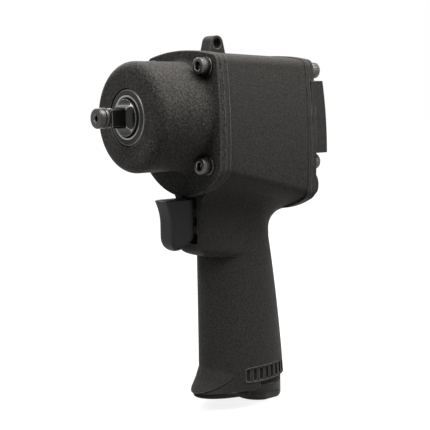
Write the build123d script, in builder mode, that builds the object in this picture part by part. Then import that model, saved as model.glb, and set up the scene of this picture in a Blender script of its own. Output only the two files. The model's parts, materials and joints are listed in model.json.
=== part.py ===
from build123d import *
import os
from math import cos, radians, sin, sqrt, tan

# Air impact wrench, in millimetres. The drive turns about the Y axis with the anvil pointing to -Y,
# and the grip hangs down, with +Z up. The origin is on that axis, at the shoulder that stops a socket.

# Fits between pieces
seat_fit = 0.02
running_fit = 0.04
end_play = 0.3
loose_fit = 0.25

# Anvil and the ring that holds a socket
square_width = 9.525
square_length = 8.8
square_corner_radius = 6.2
nose_radius = 5.0
nose_length = 3.2
nose_chamfer = 0.7
groove_length = 2.6
groove_depth = 1.2
centre_hole_radius = 1.5
centre_hole_depth = 3.0
shaft_radius = 9.2
shaft_show = 3.6
shoulder_chamfer = 2.6
collar_overhang = 3.6
collar_length = 3.0
jaw_reach = 1.4
jaw_width = 9.0
jaw_core_depth = 3.0
pilot_radius = 4.4
pilot_length = 1.6
socket_ring_thickness = 0.8
socket_ring_gap = 1.6
socket_ring_side_gap = 0.45

# Hammer case and its bush
case_length = 34.4
case_nose_round = 5.0
case_wall = 4.0
case_front_wall = 12.0
case_root_round = 2.0
flange_thickness = 3.6
edge_chamfer = 0.4
bush_wall = 5.3
bush_length = 17.4
bush_recess = 0.6
bush_lip = 0.9
bush_countersink = 0.8
bush_boss_wall = 4.0
thrust_washer_thickness = 1.2

# Hammer and its cage
cage_clearance = 1.0
cage_web = 1.8
cage_web_height = 24.0
cage_plate = 3.5
cage_hub = 4.5
hammer_pin_gap = 8.4
hammer_pin_radius = 3.0
hammer_pin_edge = 0.6
hammer_swing = 4.0
hammer_pocket_radius = 3.5
spline_radius = 5.2
spline_tooth_height = 1.2
spline_tooth_width = 1.8
spline_teeth = 8

# Air motor
cylinder_bore = 18.6
cylinder_length = 34.0
cylinder_wall = 3.5
eccentricity = 2.4
rotor_gap = 0.2
vane_count = 6
vane_thickness = 2.2
vane_slot_depth = 8.5
front_plate_length = 9.0
rear_plate_length = 8.0
bearing_width = 6.0
front_journal_radius = 5.0
front_bearing_radius = 11.0
rear_journal_radius = 4.0
rear_bearing_radius = 9.5
ball_share = 0.58
ball_pitch_share = 1.3
race_share = 0.4
dowel_radius = 1.5
dowel_bite = 5.0
port_margin = 0.2
port_count = 3
port_land = 0.7

# Motor housing, with the same outline at the case flange and the rear cover
gasket_thickness = 0.5
housing_recess = 6.1
spigot_length = 3.5
spigot_wall = 8.0
case_land = 3.02
front_roof = 5.72
rear_roof = 3.92
front_floor = 13.82
rear_floor = 24.72
crown = 3.4
shoulder_inset = 2.6
side_bulge_drop = 10.0
corner_inset = 0.6
front_corner_rise = 13.3
rear_corner_rise = 8.6
top_round = 4.5
corner_round = 6.0
rim_width = 2.6
rim_proud = 0.4
lug_setback = 17.6
lug_thickness = 7.4
lug_radius = 4.1
lug_hole_radius = 2.75
lug_rise = 4.5
lug_base = 10.8

# Grip
neck_below_trigger = 4.6
neck_back_draw = 3.1
neck_half_width = 17.0
neck_blend = 12.0
neck_flat = 8.5
neck_inset = 0.3
grip_overlap = 28.0
lip_height = 5.5
grip_length = 73.0
grip_setback = 8.5
grip_top_depth = 44.3
grip_bottom_depth = 53.6
grip_top_half_width = 16.5
grip_bottom_half_width = 18.0
grip_bow = 0.4
grip_flat = 0.6
foot_flare = 6.0
foot_inset = 0.8
foot_flare_height = 10.0
foot_slope = 30.0
slot_count = 10
slot_width = 2.4
slot_pitch = 4.1
slot_height = 6.5
slot_depth = 0.8
slot_lip = 1.0
slot_setback = 16.5

# Screws
screw_radius = 2.5
screw_head_radius = 4.25
screw_head_height = 5.0
screw_socket = 4.0
screw_socket_depth = 2.6
screw_bite = 11.0
lock_washer_show = 0.35
lock_washer_thickness = 1.2
lock_washer_split = 0.8
front_screw_angle = 49.5
front_screw_clearance = 0.14
rear_screw_edge = 7.22
rear_screw_pad_gap = 1.0
rear_head_gap = 0.6

# Rear cover and reversing lever
cover_flange = 3.0
pad_top = 17.4
pad_inset = 0.6
pad_height_top = 5.9
pad_height_middle = 8.5
pad_height_bottom = 9.3
pad_round = 1.2
heel_gap = 0.6
heel_rise = 6.8
heel_height = 4.0
heel_inset = 1.4
heel_round = 1.6
reverse_valve_wall = 2.06
lever_pad_gap = 2.95
lever_arm = 15.0
lever_width = 7.0
lever_thickness = 6.1
stem_flat = 3.0
lever_lift = 24.5
lever_hub_wall = 0.8
reverse_valve_radius = 7.0
reverse_valve_length = 31.0
reverse_groove_depth = 2.5
reverse_groove_length = 9.0
reverse_stem_radius = 4.0
lever_screw_radius = 2.0
lever_screw_head_radius = 5.4
lever_screw_head_height = 2.2
lever_screw_bite = 8.0
lever_screw_socket = 3.0
lever_screw_socket_depth = 1.7
detent_ball_radius = 1.5
detent_wall = 0.7
detent_show = 0.25
detent_hole_depth = 6.0
detent_wire = 0.25
detent_spring_turns = 4

# Trigger and throttle
throttle_below_trigger_top = 12.7
throttle_radius = 6.2
throttle_chamber_length = 16.0
throttle_bush_length = 11.0
o_ring_radius = 0.5
throttle_port_radius = 2.5
throttle_counterbore_radius = 4.0
throttle_counterbore_depth = 6.0
trigger_width = 12.0
trigger_top_gap = 0.88
trigger_height = 26.6
trigger_tip_reach = 19.2
trigger_waist_reach = 15.7
trigger_gap = 1.4
trigger_travel = 6.0
trigger_edge_round = 1.6
trigger_heel = 8.2
trigger_heel_rise = 3.0
stem_radius = 2.2
stem_bite = 6.0
guide_pin_radius = 1.25
guide_pin_wall = 1.05
guide_pin_bite = 5.0
valve_land = 1.0
valve_thickness = 3.0
valve_tail_radius = 2.6
valve_tail_length = 3.0
spring_wire_radius = 0.5
throttle_spring_turns = 5

# Air inlet and exhaust
inlet_back = 15.3
inlet_radius = 12.9
inlet_boss_height = 4.0
inlet_flange_height = 9.3
inlet_flats = 24.0
inlet_flat_height = 5.4
inlet_thread_radius = 5.75
inlet_thread_length = 14.0
inlet_spigot_radius = 9.0
inlet_spigot_length = 15.0
inlet_round = 2.2
inlet_passage_radius = 5.0
feed_radius = 2.8
feed_land = 1.35
valve_port_x = 6.0
valve_port_radius = 2.0
valve_port_setback = 3.0
exhaust_groove_depth = 1.0
screen_thickness = 1.0
screen_hole_radius = 0.6
screen_hole_pitch = 2.0
exhaust_wall = 3.9
exhaust_half_width = 10.5
exhaust_half_depth = 6.5
exhaust_height = 52.0
exhaust_duct_radius = 3.0
exhaust_duct_wall = 1.3
exhaust_duct_setback = 22.9
silencer_height = 27.0
silencer_hole_radius = 1.3
silencer_top_gap = 9.0
deflector_thickness = 2.8
deflector_cover = 0.8
deflector_lip = 0.6
deflector_tab_width = 9.0
deflector_inlet_gap = 1.5
deflector_screw_radius = 1.5
deflector_screw_head_radius = 2.8
deflector_screw_head_height = 1.2
deflector_screw_bite = 8.0
deflector_screw_socket = 2.0
deflector_screw_socket_depth = 0.9
deflector_slot_width = 2.6
deflector_slot_length = 14.7

# Stations along the drive axis, front to rear
square_front = -square_length
groove_front = square_front - groove_length
tip = groove_front - nose_length
case_front = shaft_show
flange_front = case_front + case_length
case_rear = flange_front + flange_thickness
housing_front = case_rear + gasket_thickness
front_plate_front = housing_front + housing_recess
front_plate_rear = front_plate_front + front_plate_length
cylinder_rear = front_plate_rear + cylinder_length
rear_plate_rear = cylinder_rear + rear_plate_length
cover_front = rear_plate_rear + spigot_length
housing_rear = cover_front - gasket_thickness
housing_length = housing_rear - housing_front
cover_rear = cover_front + cover_flange
bush_front = case_front + bush_recess
bush_rear = bush_front + bush_length
thrust_washer_front = bush_rear + end_play
collar_front = thrust_washer_front + thrust_washer_thickness + end_play
collar_rear = collar_front + collar_length
cage_front = collar_rear + end_play
hammer_front = cage_front + cage_plate + end_play
cage_rear = front_plate_front - 2 * end_play
cage_hub_front = cage_rear - cage_hub
hammer_rear = cage_hub_front - end_play
rotor_front = front_plate_rear + end_play
rotor_rear = cylinder_rear - end_play

# Radii about the drive axis
groove_radius = nose_radius - groove_depth
bush_radius = shaft_radius + bush_wall
collar_radius = shaft_radius + collar_overhang
jaw_radius = shaft_radius + jaw_reach
hammer_pin_offset = jaw_radius + hammer_pin_gap
hammer_sway = hammer_pin_offset * sin(radians(hammer_swing))
hammer_bore = jaw_radius + hammer_sway + end_play
cage_radius = hammer_pin_offset + hammer_pin_radius + hammer_pin_edge
hammer_radius = cage_radius - cage_web - hammer_sway - end_play
cavity_radius = cage_radius + cage_clearance
case_radius = cavity_radius + case_wall
rotor_radius = cylinder_bore - eccentricity - rotor_gap
cylinder_radius = cylinder_bore + eccentricity + cylinder_wall
bore_radius = cylinder_radius + seat_fit
dowel_z = -(cylinder_radius + cylinder_bore - eccentricity) / 2
half_width = case_radius + case_land
front_top = case_radius + front_roof
rear_top = case_radius + rear_roof
front_bottom = -case_radius - front_floor
rear_bottom = -case_radius - rear_floor

# Height of the reversing lever, and the pad's lower edge above the lever's swing
lever_z = -bore_radius - reverse_valve_wall - reverse_valve_radius
pad_bottom = lever_z + lever_arm * sin(radians(lever_lift)) + lever_width / 2 + lever_pad_gap

# Screw places, as (x, z) on planes across the drive axis
lock_washer_radius = screw_head_radius + lock_washer_show
front_screw_circle = case_radius + lock_washer_radius + front_screw_clearance
front_screw_x = front_screw_circle * cos(radians(front_screw_angle))
front_screw_z = front_screw_circle * sin(radians(front_screw_angle))
rear_screw_x = half_width - rear_screw_edge
rear_screw_top = pad_top + lock_washer_radius + rear_screw_pad_gap
rear_screw_bottom = pad_bottom - lock_washer_radius - loose_fit
front_screw_heights = (-front_screw_z, front_screw_z)
rear_screw_heights = (rear_screw_bottom, rear_screw_top)
front_screw_places = [(x, z) for x in (front_screw_x, -front_screw_x) for z in front_screw_heights]
rear_screw_places = [(x, z) for x in (rear_screw_x, -rear_screw_x) for z in rear_screw_heights]
screw_hole_radius = screw_radius + seat_fit

# Heights and places in the grip
trigger_top = front_bottom - trigger_top_gap
trigger_bottom = trigger_top - trigger_height
throttle_z = trigger_top - throttle_below_trigger_top
neck_bottom = trigger_bottom - neck_below_trigger
lip_top = neck_bottom + lip_height
grip_bottom = neck_bottom - grip_length
grip_front = housing_front + grip_setback
inlet_y = grip_front + grip_bottom_depth - inlet_back
inlet_bottom = grip_bottom - gasket_thickness - inlet_flange_height
trigger_rear = housing_front - trigger_gap
pocket_depth = trigger_travel + loose_fit - trigger_gap
throttle_bush_front = housing_front + pocket_depth
throttle_seat = throttle_bush_front + throttle_bush_length
chamber_rear = throttle_seat + throttle_chamber_length
exhaust_y = grip_front + exhaust_wall + exhaust_half_depth
foot_front = grip_front - foot_flare


def station(y):
    """A plane across the drive axis at y, facing forward, with X to its right and Z up."""
    return Plane.XZ.offset(-y)


def rod(radius, front, rear, place=(0, 0), mode=Mode.ADD):
    """A round bar along Y from front to rear, centred at place, an (x, z)."""
    with BuildSketch(station(front)) as outline:
        with Locations(place):
            Circle(radius)
    extrude(outline.sketch, amount=front - rear, mode=mode)


def rods(radius, front, rear, places, mode=Mode.ADD):
    """The same round bar at each of several places."""
    with BuildSketch(station(front)) as outline:
        with Locations(*places):
            Circle(radius)
    extrude(outline.sketch, amount=front - rear, mode=mode)


def ring(outer, inner, front, rear, place=(0, 0)):
    """A plain ring along Y."""
    with BuildSketch(station(front)) as outline:
        with Locations(place):
            Circle(outer)
            Circle(inner, mode=Mode.SUBTRACT)
    extrude(outline.sketch, amount=front - rear)


def post(radius, bottom, top, place, mode=Mode.ADD):
    """An upright round bar centred at place, an (x, y)."""
    with BuildSketch(Plane.XY.offset(bottom)) as outline:
        with Locations(place):
            Circle(radius)
    extrude(outline.sketch, amount=top - bottom, mode=mode)


def passage(radius, start, end):
    """A round air passage drilled from one point to another."""
    run = Vector(end) - Vector(start)
    with BuildSketch(Plane(origin=start, z_dir=run)) as outline:
        Circle(radius)
    extrude(outline.sketch, amount=run.length, mode=Mode.SUBTRACT)


def turned(*corners, mode=Mode.ADD):
    """A piece turned about the drive axis from its corners, each a (radius, y)."""
    with BuildSketch(Plane.XY) as outline:
        with BuildLine():
            Polyline(*corners, close=True)
        make_face()
    revolve(outline.sketch, axis=Axis.Y, mode=mode)


def body_section(y, share, inset=0.0):
    """The housing's outline at station y. Its share is 0 for the front outline and 1 for the rear one."""

    def between(front, rear):
        return front + (rear - front) * share

    top = between(front_top, rear_top) - inset
    bottom = between(front_bottom, rear_bottom) + inset
    side = half_width - inset
    shoulder = (side - shoulder_inset, top - crown)
    corner = (side - corner_inset, bottom + between(front_corner_rise, rear_corner_rise))
    with BuildSketch(station(y)) as section:
        with BuildLine():
            ThreePointArc((-shoulder[0], shoulder[1]), (0, top), shoulder)
            ThreePointArc(shoulder, (side, -side_bulge_drop), corner)
            ThreePointArc(corner, (0, bottom), (-corner[0], corner[1]))
            ThreePointArc((-corner[0], corner[1]), (-side, -side_bulge_drop), (-shoulder[0], shoulder[1]))
        make_face()
        fillet(section.vertices().group_by(Axis.Y)[-1], top_round)
        fillet(section.vertices().group_by(Axis.Y)[0], corner_round)
    return section.sketch


def grip_back(z):
    """Where the back of the grip is at height z. It leans back and swells a little half way."""
    share = (neck_bottom - z) / grip_length
    swell = grip_bow * share * (1 - share)
    depth = grip_top_depth + (grip_bottom_depth - grip_top_depth) * (share + swell)
    return grip_front + depth


def grip_half_width(z):
    """Half the grip's width at height z."""
    share = (neck_bottom - z) / grip_length
    return grip_top_half_width + (grip_bottom_half_width - grip_top_half_width) * share


def oval(z, front, middle, back, half, flat):
    """An upright piece's section: half an ellipse to the back, and two quarters beside a flat front."""
    with BuildSketch(Plane.XY.offset(z)) as section:
        with BuildLine():
            EllipticalCenterArc((-flat, middle), half - flat, middle - front, 180, arc_size=90)
            Line((-flat, front), (flat, front))
            EllipticalCenterArc((flat, middle), half - flat, middle - front, 270, arc_size=90)
            EllipticalCenterArc((0, middle), half, back - middle, 0, arc_size=180)
        make_face()
    return section.sketch


def grip_section(z, inset=0.0):
    """The grip's oval section at height z."""
    back = grip_back(z)
    half = grip_half_width(z) - inset
    return oval(z, grip_front + inset, (grip_front + back) / 2, back - inset, half, grip_flat)


def cap_screws(places, seat, length, facing):
    """Socket head screws on the face at y = seat, with heads to -Y for a facing of -1 and to +Y for 1."""
    head_base = seat + facing * lock_washer_thickness
    head_top = head_base + facing * screw_head_height
    rods(screw_head_radius, head_base, head_top, places)
    rods(screw_radius, head_base, head_base - facing * length, places)
    with BuildSketch(station(head_top)) as sockets:
        with Locations(*places):
            RegularPolygon(screw_socket / 2, 6, major_radius=False)
    extrude(sockets.sketch, amount=facing * screw_socket_depth, mode=Mode.SUBTRACT)


def lock_washers(places, front):
    """Split spring washers, one under each screw head."""
    rods(lock_washer_radius, front, front + lock_washer_thickness, places)
    rods(screw_hole_radius, front, front + lock_washer_thickness, places, Mode.SUBTRACT)
    with BuildSketch(station(front)) as splits:
        for x, z in places:
            with Locations((x, z + lock_washer_radius)):
                Rectangle(lock_washer_split, 2 * (lock_washer_radius - screw_radius) + 1)
    extrude(splits.sketch, amount=-lock_washer_thickness, mode=Mode.SUBTRACT)


def coil(start_y, end_y, turns, coil_radius, wire_radius, place):
    """A spring along Y. Each half turn of its helix is two tangent arcs."""
    step = (end_y - start_y) / (2 * turns)
    rise = step / (radians(180) * coil_radius)
    level = 1 / sqrt(1 + rise**2)

    def point(half):
        side = coil_radius * (-1) ** half
        return Vector(place[0] + side, start_y + half * step, place[1])

    def heading(half):
        return Vector(0, rise * level, level * (-1) ** half)

    with BuildLine() as path:
        for half in range(2 * turns):
            first, last = point(half), point(half + 1)
            out, back = heading(half), heading(half + 1)
            chord = last - first
            both = out + back
            a = both.dot(both) - 4
            b = -2 * chord.dot(both)
            c = chord.dot(chord)
            reach = (-b - sqrt(b * b - 4 * a * c)) / (2 * a)
            joint = (first + out * reach + last - back * reach) * 0.5
            TangentArc(first, joint, tangent=out)
            TangentArc(joint, last, tangent=(last - back * reach) - (first + out * reach))
    with BuildSketch(Plane(origin=point(0), z_dir=heading(0))) as wire:
        Circle(wire_radius)
    sweep(wire.sketch, path=path.wires()[0])


def spline_shape(grow):
    """The rotor nose's spline, grown all round where it is the hole for that spline."""
    Circle(spline_radius + grow)
    with PolarLocations(spline_radius, spline_teeth):
        Rectangle(2 * (spline_tooth_height + grow), spline_tooth_width + 2 * grow)


os.makedirs("parts", exist_ok=True)


# Anvil: round nose, ring groove, square, shaft, thrust collar, and the jaw that the hammer strikes
with BuildPart() as anvil:
    rod(nose_radius, tip, groove_front)
    chamfer(anvil.edges().group_by(Axis.Y)[0], nose_chamfer)
    rod(groove_radius, groove_front, square_front)
    with BuildSketch(station(square_front)):
        Rectangle(square_width, square_width)
        Circle(square_corner_radius, mode=Mode.INTERSECT)
    extrude(amount=square_front)
    turned(
        (0, 0),
        (shaft_radius - shoulder_chamfer, 0),
        (shaft_radius, shoulder_chamfer),
        (shaft_radius, collar_front),
        (collar_radius, collar_front),
        (collar_radius, collar_rear),
        (jaw_radius + end_play, collar_rear),
        (jaw_radius + end_play, hammer_front),
        (0, hammer_front),
    )
    with BuildSketch(station(hammer_front)):
        Circle(jaw_radius - jaw_core_depth)
        with Locations((0, -jaw_radius / 2)):
            Rectangle(jaw_width, jaw_radius)
        Circle(jaw_radius, mode=Mode.INTERSECT)
    extrude(amount=hammer_front - hammer_rear)
    rod(pilot_radius, hammer_rear, hammer_rear + pilot_length)
    rod(centre_hole_radius, tip, tip + centre_hole_depth, mode=Mode.SUBTRACT)
anvil.part.label = "anvil"
export_step(anvil.part, "parts/anvil.step")


# Split steel ring in the nose groove, over a rubber cushion ring
socket_ring_radius = nose_radius + seat_fit
socket_ring_inner = socket_ring_radius - socket_ring_thickness
groove_middle = (groove_front + square_front) / 2
with BuildPart() as socket_ring:
    socket_ring_front = groove_front + socket_ring_side_gap
    ring(socket_ring_radius, socket_ring_inner, socket_ring_front, square_front - socket_ring_side_gap)
    with BuildSketch(station(groove_front)):
        with Locations((-nose_radius, 0)):
            Rectangle(2 * nose_radius, socket_ring_gap)
    extrude(amount=-groove_length, mode=Mode.SUBTRACT)
socket_ring.part.label = "socket_ring"
export_step(socket_ring.part, "parts/socket_ring.step")

cushion_thickness = (socket_ring_inner - groove_radius) / 2 - seat_fit
with BuildPart() as socket_ring_cushion:
    with BuildSketch(Plane.XY):
        with Locations((groove_radius + cushion_thickness + seat_fit, groove_middle)):
            Circle(cushion_thickness)
    revolve(axis=Axis.Y)
socket_ring_cushion.part.label = "socket_ring_cushion"
export_step(socket_ring_cushion.part, "parts/socket_ring_cushion.step")


# Hammer case: a round nose casting on a flange, bored for the bush and hollow behind it
with BuildPart() as hammer_case:
    extrude(body_section(flange_front, 0), amount=-flange_thickness)
    chamfer(hammer_case.faces().sort_by(Axis.Y)[0].edges(), edge_chamfer)
    rod(case_radius, case_front, flange_front)
    round_edges = hammer_case.edges().filter_by(GeomType.CIRCLE)
    root_edges = round_edges.filter_by_position(Axis.Y, flange_front, flange_front)
    fillet(root_edges.sort_by(Edge.length)[-1], case_root_round)
    fillet(hammer_case.faces().sort_by(Axis.Y)[0].edges(), case_nose_round)
    inner_front = case_front + case_front_wall
    boss_radius = bush_radius + bush_boss_wall
    turned(
        (0, case_front),
        (bush_radius + seat_fit, case_front),
        (bush_radius + seat_fit, bush_rear),
        (boss_radius, bush_rear),
        (boss_radius, inner_front),
        (cavity_radius, inner_front),
        (cavity_radius, case_rear),
        (0, case_rear),
        mode=Mode.SUBTRACT,
    )
    seat_radius = lock_washer_radius + loose_fit
    rods(seat_radius, flange_front - screw_head_height, flange_front, front_screw_places, Mode.SUBTRACT)
    rods(screw_hole_radius, flange_front, case_rear, front_screw_places, Mode.SUBTRACT)
hammer_case.part.label = "hammer_case"
export_step(hammer_case.part, "parts/hammer_case.step")


# Bush in the nose, with a raised lip round the shaft and a sunk face outside it
bush_bore = shaft_radius + running_fit
lip_inner = bush_bore + bush_countersink
with BuildPart() as anvil_bush:
    turned(
        (bush_bore, case_front + bush_countersink),
        (lip_inner, case_front),
        (lip_inner + bush_lip, case_front),
        (lip_inner + bush_lip, bush_front),
        (bush_radius, bush_front),
        (bush_radius, bush_rear),
        (bush_bore, bush_rear),
    )
anvil_bush.part.label = "anvil_bush"
export_step(anvil_bush.part, "parts/anvil_bush.step")

with BuildPart() as thrust_washer:
    thrust_washer_rear = thrust_washer_front + thrust_washer_thickness
    ring(collar_radius, shaft_radius + running_fit, thrust_washer_front, thrust_washer_rear)
thrust_washer.part.label = "thrust_washer"
export_step(thrust_washer.part, "parts/thrust_washer.step")


# Cage that the rotor drives: two plates joined by side webs, with the splined hole behind
hammer_pin_places = [(0, hammer_pin_offset), (0, -hammer_pin_offset)]
with BuildPart() as hammer_cage:
    rod(cage_radius, cage_front, cage_rear)
    cage_inner = cage_radius - cage_web
    with BuildSketch(station(cage_front + cage_plate)):
        Circle(cage_radius)
        with BuildSketch(mode=Mode.SUBTRACT):
            Rectangle(2 * cage_radius, cage_web_height)
            Circle(cage_inner, mode=Mode.SUBTRACT)
    extrude(amount=cage_front + cage_plate - cage_hub_front, mode=Mode.SUBTRACT)
    rod(jaw_radius + end_play + running_fit, cage_front, cage_front + cage_plate, mode=Mode.SUBTRACT)
    with BuildSketch(station(cage_hub_front)):
        spline_shape(running_fit)
    extrude(amount=-cage_hub, mode=Mode.SUBTRACT)
    rods(hammer_pin_radius + seat_fit, cage_front, cage_rear, hammer_pin_places, Mode.SUBTRACT)
hammer_cage.part.label = "hammer_cage"
export_step(hammer_cage.part, "parts/hammer_cage.step")

with BuildPart() as hammer_pins:
    rods(hammer_pin_radius, cage_front, cage_rear, hammer_pin_places)
hammer_pins.part.label = "hammer_pins"
export_step(hammer_pins.part, "parts/hammer_pins.step")


# Hammer: a heavy ring that rocks on the upper pin, with a wider groove at the lower, stopping pin
stop_sway = 2 * hammer_sway
with BuildPart() as hammer:
    rod(hammer_radius, hammer_front, hammer_rear)
    with BuildSketch(station(hammer_front)):
        Circle(hammer_bore)
        with PolarLocations(hammer_bore, 2, start_angle=-135, angular_range=180):
            Circle(hammer_pocket_radius)
        with Locations((0, hammer_pin_offset)):
            Circle(hammer_pin_radius + running_fit)
        with Locations((0, hammer_pin_offset + hammer_pin_radius)):
            Rectangle(2 * (hammer_pin_radius + running_fit), 2 * hammer_pin_radius)
        with Locations((0, -hammer_pin_offset)):
            SlotCenterToCenter(2 * stop_sway, 2 * (hammer_pin_radius + end_play))
        with Locations((0, -hammer_pin_offset - hammer_pin_radius)):
            Rectangle(2 * (stop_sway + hammer_pin_radius + end_play), 2 * hammer_pin_radius)
    extrude(amount=hammer_front - hammer_rear, mode=Mode.SUBTRACT)
hammer.part.label = "hammer"
export_step(hammer.part, "parts/hammer.step")


# Rotor: slotted drum on two journals, with a splined nose in the cage
spline_front = cage_hub_front + pilot_length + end_play
vane_slot_width = vane_thickness + 2 * running_fit
vane_height = vane_slot_depth - running_fit
vane_middle = rotor_radius - vane_slot_depth + running_fit + vane_height / 2
with BuildPart() as rotor:
    with BuildSketch(station(spline_front)):
        spline_shape(0)
    extrude(amount=spline_front - cage_rear)
    rod(front_journal_radius, cage_rear, rotor_front)
    rod(rotor_radius, rotor_front, rotor_rear)
    with BuildSketch(station(rotor_front)):
        with PolarLocations(rotor_radius, vane_count, start_angle=90):
            Rectangle(2 * vane_slot_depth, vane_slot_width)
    extrude(amount=rotor_front - rotor_rear, mode=Mode.SUBTRACT)
    rod(rear_journal_radius, rotor_rear, rear_plate_rear - end_play)
rotor.part.label = "rotor"
export_step(rotor.part, "parts/rotor.step")

with BuildPart() as rotor_vanes:
    with BuildSketch(station(rotor_front)):
        with PolarLocations(vane_middle, vane_count, start_angle=90):
            Rectangle(vane_height - running_fit, vane_thickness)
    extrude(amount=rotor_front - rotor_rear)
rotor_vanes.part.label = "rotor_vanes"
export_step(rotor_vanes.part, "parts/rotor_vanes.step")


# Cylinder with its bore above the rotor's axis, closed by two end plates that hold the bearings
dowel_front = front_plate_rear - dowel_bite
dowel_rear = cylinder_rear + dowel_bite
port_pitch = cylinder_length / (port_count + 1)
port_radius = eccentricity - port_margin
dowel_place = (0, dowel_z)
valve_port_y = cylinder_rear - valve_port_setback
with BuildPart() as motor_cylinder:
    rod(cylinder_radius, front_plate_rear, cylinder_rear)
    rod(cylinder_bore, front_plate_rear, cylinder_rear, (0, eccentricity), Mode.SUBTRACT)
    rod(dowel_radius + seat_fit, front_plate_rear, cylinder_rear, dowel_place, Mode.SUBTRACT)
    cylinder_middle = (front_plate_rear + cylinder_rear) / 2
    with BuildSketch(Plane.YZ):
        with Locations((cylinder_middle, 0)):
            with GridLocations(port_pitch, 1, port_count, 1):
                Circle(port_radius)
    extrude(amount=bore_radius, both=True, mode=Mode.SUBTRACT)
    groove_half_length = port_pitch + port_radius + port_land
    groove_floor = cylinder_radius - exhaust_groove_depth
    turned(
        (groove_floor, cylinder_middle - groove_half_length),
        (bore_radius, cylinder_middle - groove_half_length),
        (bore_radius, cylinder_middle + groove_half_length),
        (groove_floor, cylinder_middle + groove_half_length),
        mode=Mode.SUBTRACT,
    )
    with BuildSketch(Plane.XY):
        with Locations((valve_port_x, valve_port_y), (-valve_port_x, valve_port_y)):
            Rectangle(2 * valve_port_radius, 2 * valve_port_radius)
    extrude(amount=-bore_radius, mode=Mode.SUBTRACT)
motor_cylinder.part.label = "motor_cylinder"
export_step(motor_cylinder.part, "parts/motor_cylinder.step")

front_bearing_front = front_plate_front + end_play
front_pocket_rear = front_bearing_front + bearing_width
with BuildPart() as front_end_plate:
    rod(cylinder_radius, front_plate_front, front_plate_rear)
    rod(front_bearing_radius + seat_fit, front_plate_front, front_pocket_rear, mode=Mode.SUBTRACT)
    rod(front_journal_radius + end_play, front_pocket_rear, front_plate_rear, mode=Mode.SUBTRACT)
    rod(dowel_radius + seat_fit, dowel_front, front_plate_rear, dowel_place, Mode.SUBTRACT)
front_end_plate.part.label = "front_end_plate"
export_step(front_end_plate.part, "parts/front_end_plate.step")

rear_bearing_rear = rear_plate_rear - end_play
rear_pocket_front = rear_bearing_rear - bearing_width
with BuildPart() as rear_end_plate:
    rod(cylinder_radius, cylinder_rear, rear_plate_rear)
    rod(rear_bearing_radius + seat_fit, rear_pocket_front, rear_plate_rear, mode=Mode.SUBTRACT)
    rod(rear_journal_radius + end_play, cylinder_rear, rear_pocket_front, mode=Mode.SUBTRACT)
    rod(dowel_radius + seat_fit, cylinder_rear, dowel_rear, dowel_place, Mode.SUBTRACT)
rear_end_plate.part.label = "rear_end_plate"
export_step(rear_end_plate.part, "parts/rear_end_plate.step")

with BuildPart() as cylinder_dowel:
    rod(dowel_radius, dowel_front, dowel_rear, dowel_place)
cylinder_dowel.part.label = "cylinder_dowel"
export_step(cylinder_dowel.part, "parts/cylinder_dowel.step")


def bearing(name, journal, outer, front):
    """A ball bearing as three pieces: outer race, inner race and balls."""
    pitch = (journal + outer) / 2
    ball = ball_share * (outer - journal) / 2
    land = race_share * (outer - journal) / 2
    middle = front + bearing_width / 2
    ball_count = int(radians(360) * pitch / (2 * ball * ball_pitch_share))
    races = {"outer_race": (outer, pitch + land), "inner_race": (pitch - land, journal + seat_fit)}
    for race_name, (race_outer, race_inner) in races.items():
        with BuildPart() as race:
            ring(race_outer, race_inner, front, front + bearing_width)
            with Locations(Location((0, middle, 0), (90, 0, 0))):
                Torus(pitch, ball + running_fit, mode=Mode.SUBTRACT)
        race.part.label = f"{name}_{race_name}"
        export_step(race.part, f"parts/{name}_{race_name}.step")
    with BuildPart(station(middle)) as balls:
        with PolarLocations(pitch, ball_count):
            Sphere(ball)
    balls.part.label = f"{name}_balls"
    export_step(balls.part, f"parts/{name}_balls.step")


bearing("front_bearing", front_journal_radius, front_bearing_radius, front_bearing_front)
bearing("rear_bearing", rear_journal_radius, rear_bearing_radius, rear_pocket_front)


# Motor housing: foot, body and neck, blended where they meet, then grip, hanger lug, bores and passages
neck_middle = (grip_front + grip_back(neck_bottom)) / 2
overrun = 0.5
lug_y = housing_front + lug_setback
lug_roof = front_top + (rear_top - front_top) * lug_setback / housing_length
lug_z = lug_roof + lug_rise
feed_y = throttle_seat - feed_land - throttle_port_radius
reverse_valve_front = housing_rear - end_play - reverse_valve_length
deflector_rear = inlet_y - inlet_radius - deflector_inlet_gap
deflector_screw_y = deflector_rear - deflector_tab_width / 2
inlet_top = grip_bottom + inlet_spigot_length
pocket_top = trigger_top + end_play
pocket_bottom = trigger_bottom + trigger_heel_rise - end_play


def foot_section(z, front, inset):
    """The flared front half of the grip's section, which starts inside the grip."""
    middle = (grip_front + grip_back(z)) / 2
    half = grip_half_width(z) - foot_inset - inset
    with BuildSketch(Plane.XY.offset(z)) as section:
        with BuildLine():
            EllipticalCenterArc((0, middle), half, middle - front - inset, 180, arc_size=180)
            Line((half, middle), (-half, middle))
        make_face()
    return section.sketch


def flared_foot(turns, inset):
    """The foot's flare, through a quarter turn in steps, and the wall under it, all drawn in by inset."""
    top = grip_bottom + foot_flare_height + foot_flare
    flare = [
        foot_section(
            top - foot_flare_height * turn / 90,
            foot_front + (foot_flare + foot_inset) * cos(radians(turn)),
            inset,
        )
        for turn in turns
    ]
    loft(flare)
    extrude(flare[-1], amount=-foot_flare)


def neck_section(z, share):
    """The neck's section at height z, inside the grip but for its front, which overhangs by a share."""
    front = grip_front + neck_inset - (grip_setback + neck_inset) * share
    flat = grip_flat + (neck_flat - grip_flat) * share
    return oval(z, front, neck_middle, grip_back(z) - neck_inset, grip_half_width(z) - neck_inset, flat)


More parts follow.
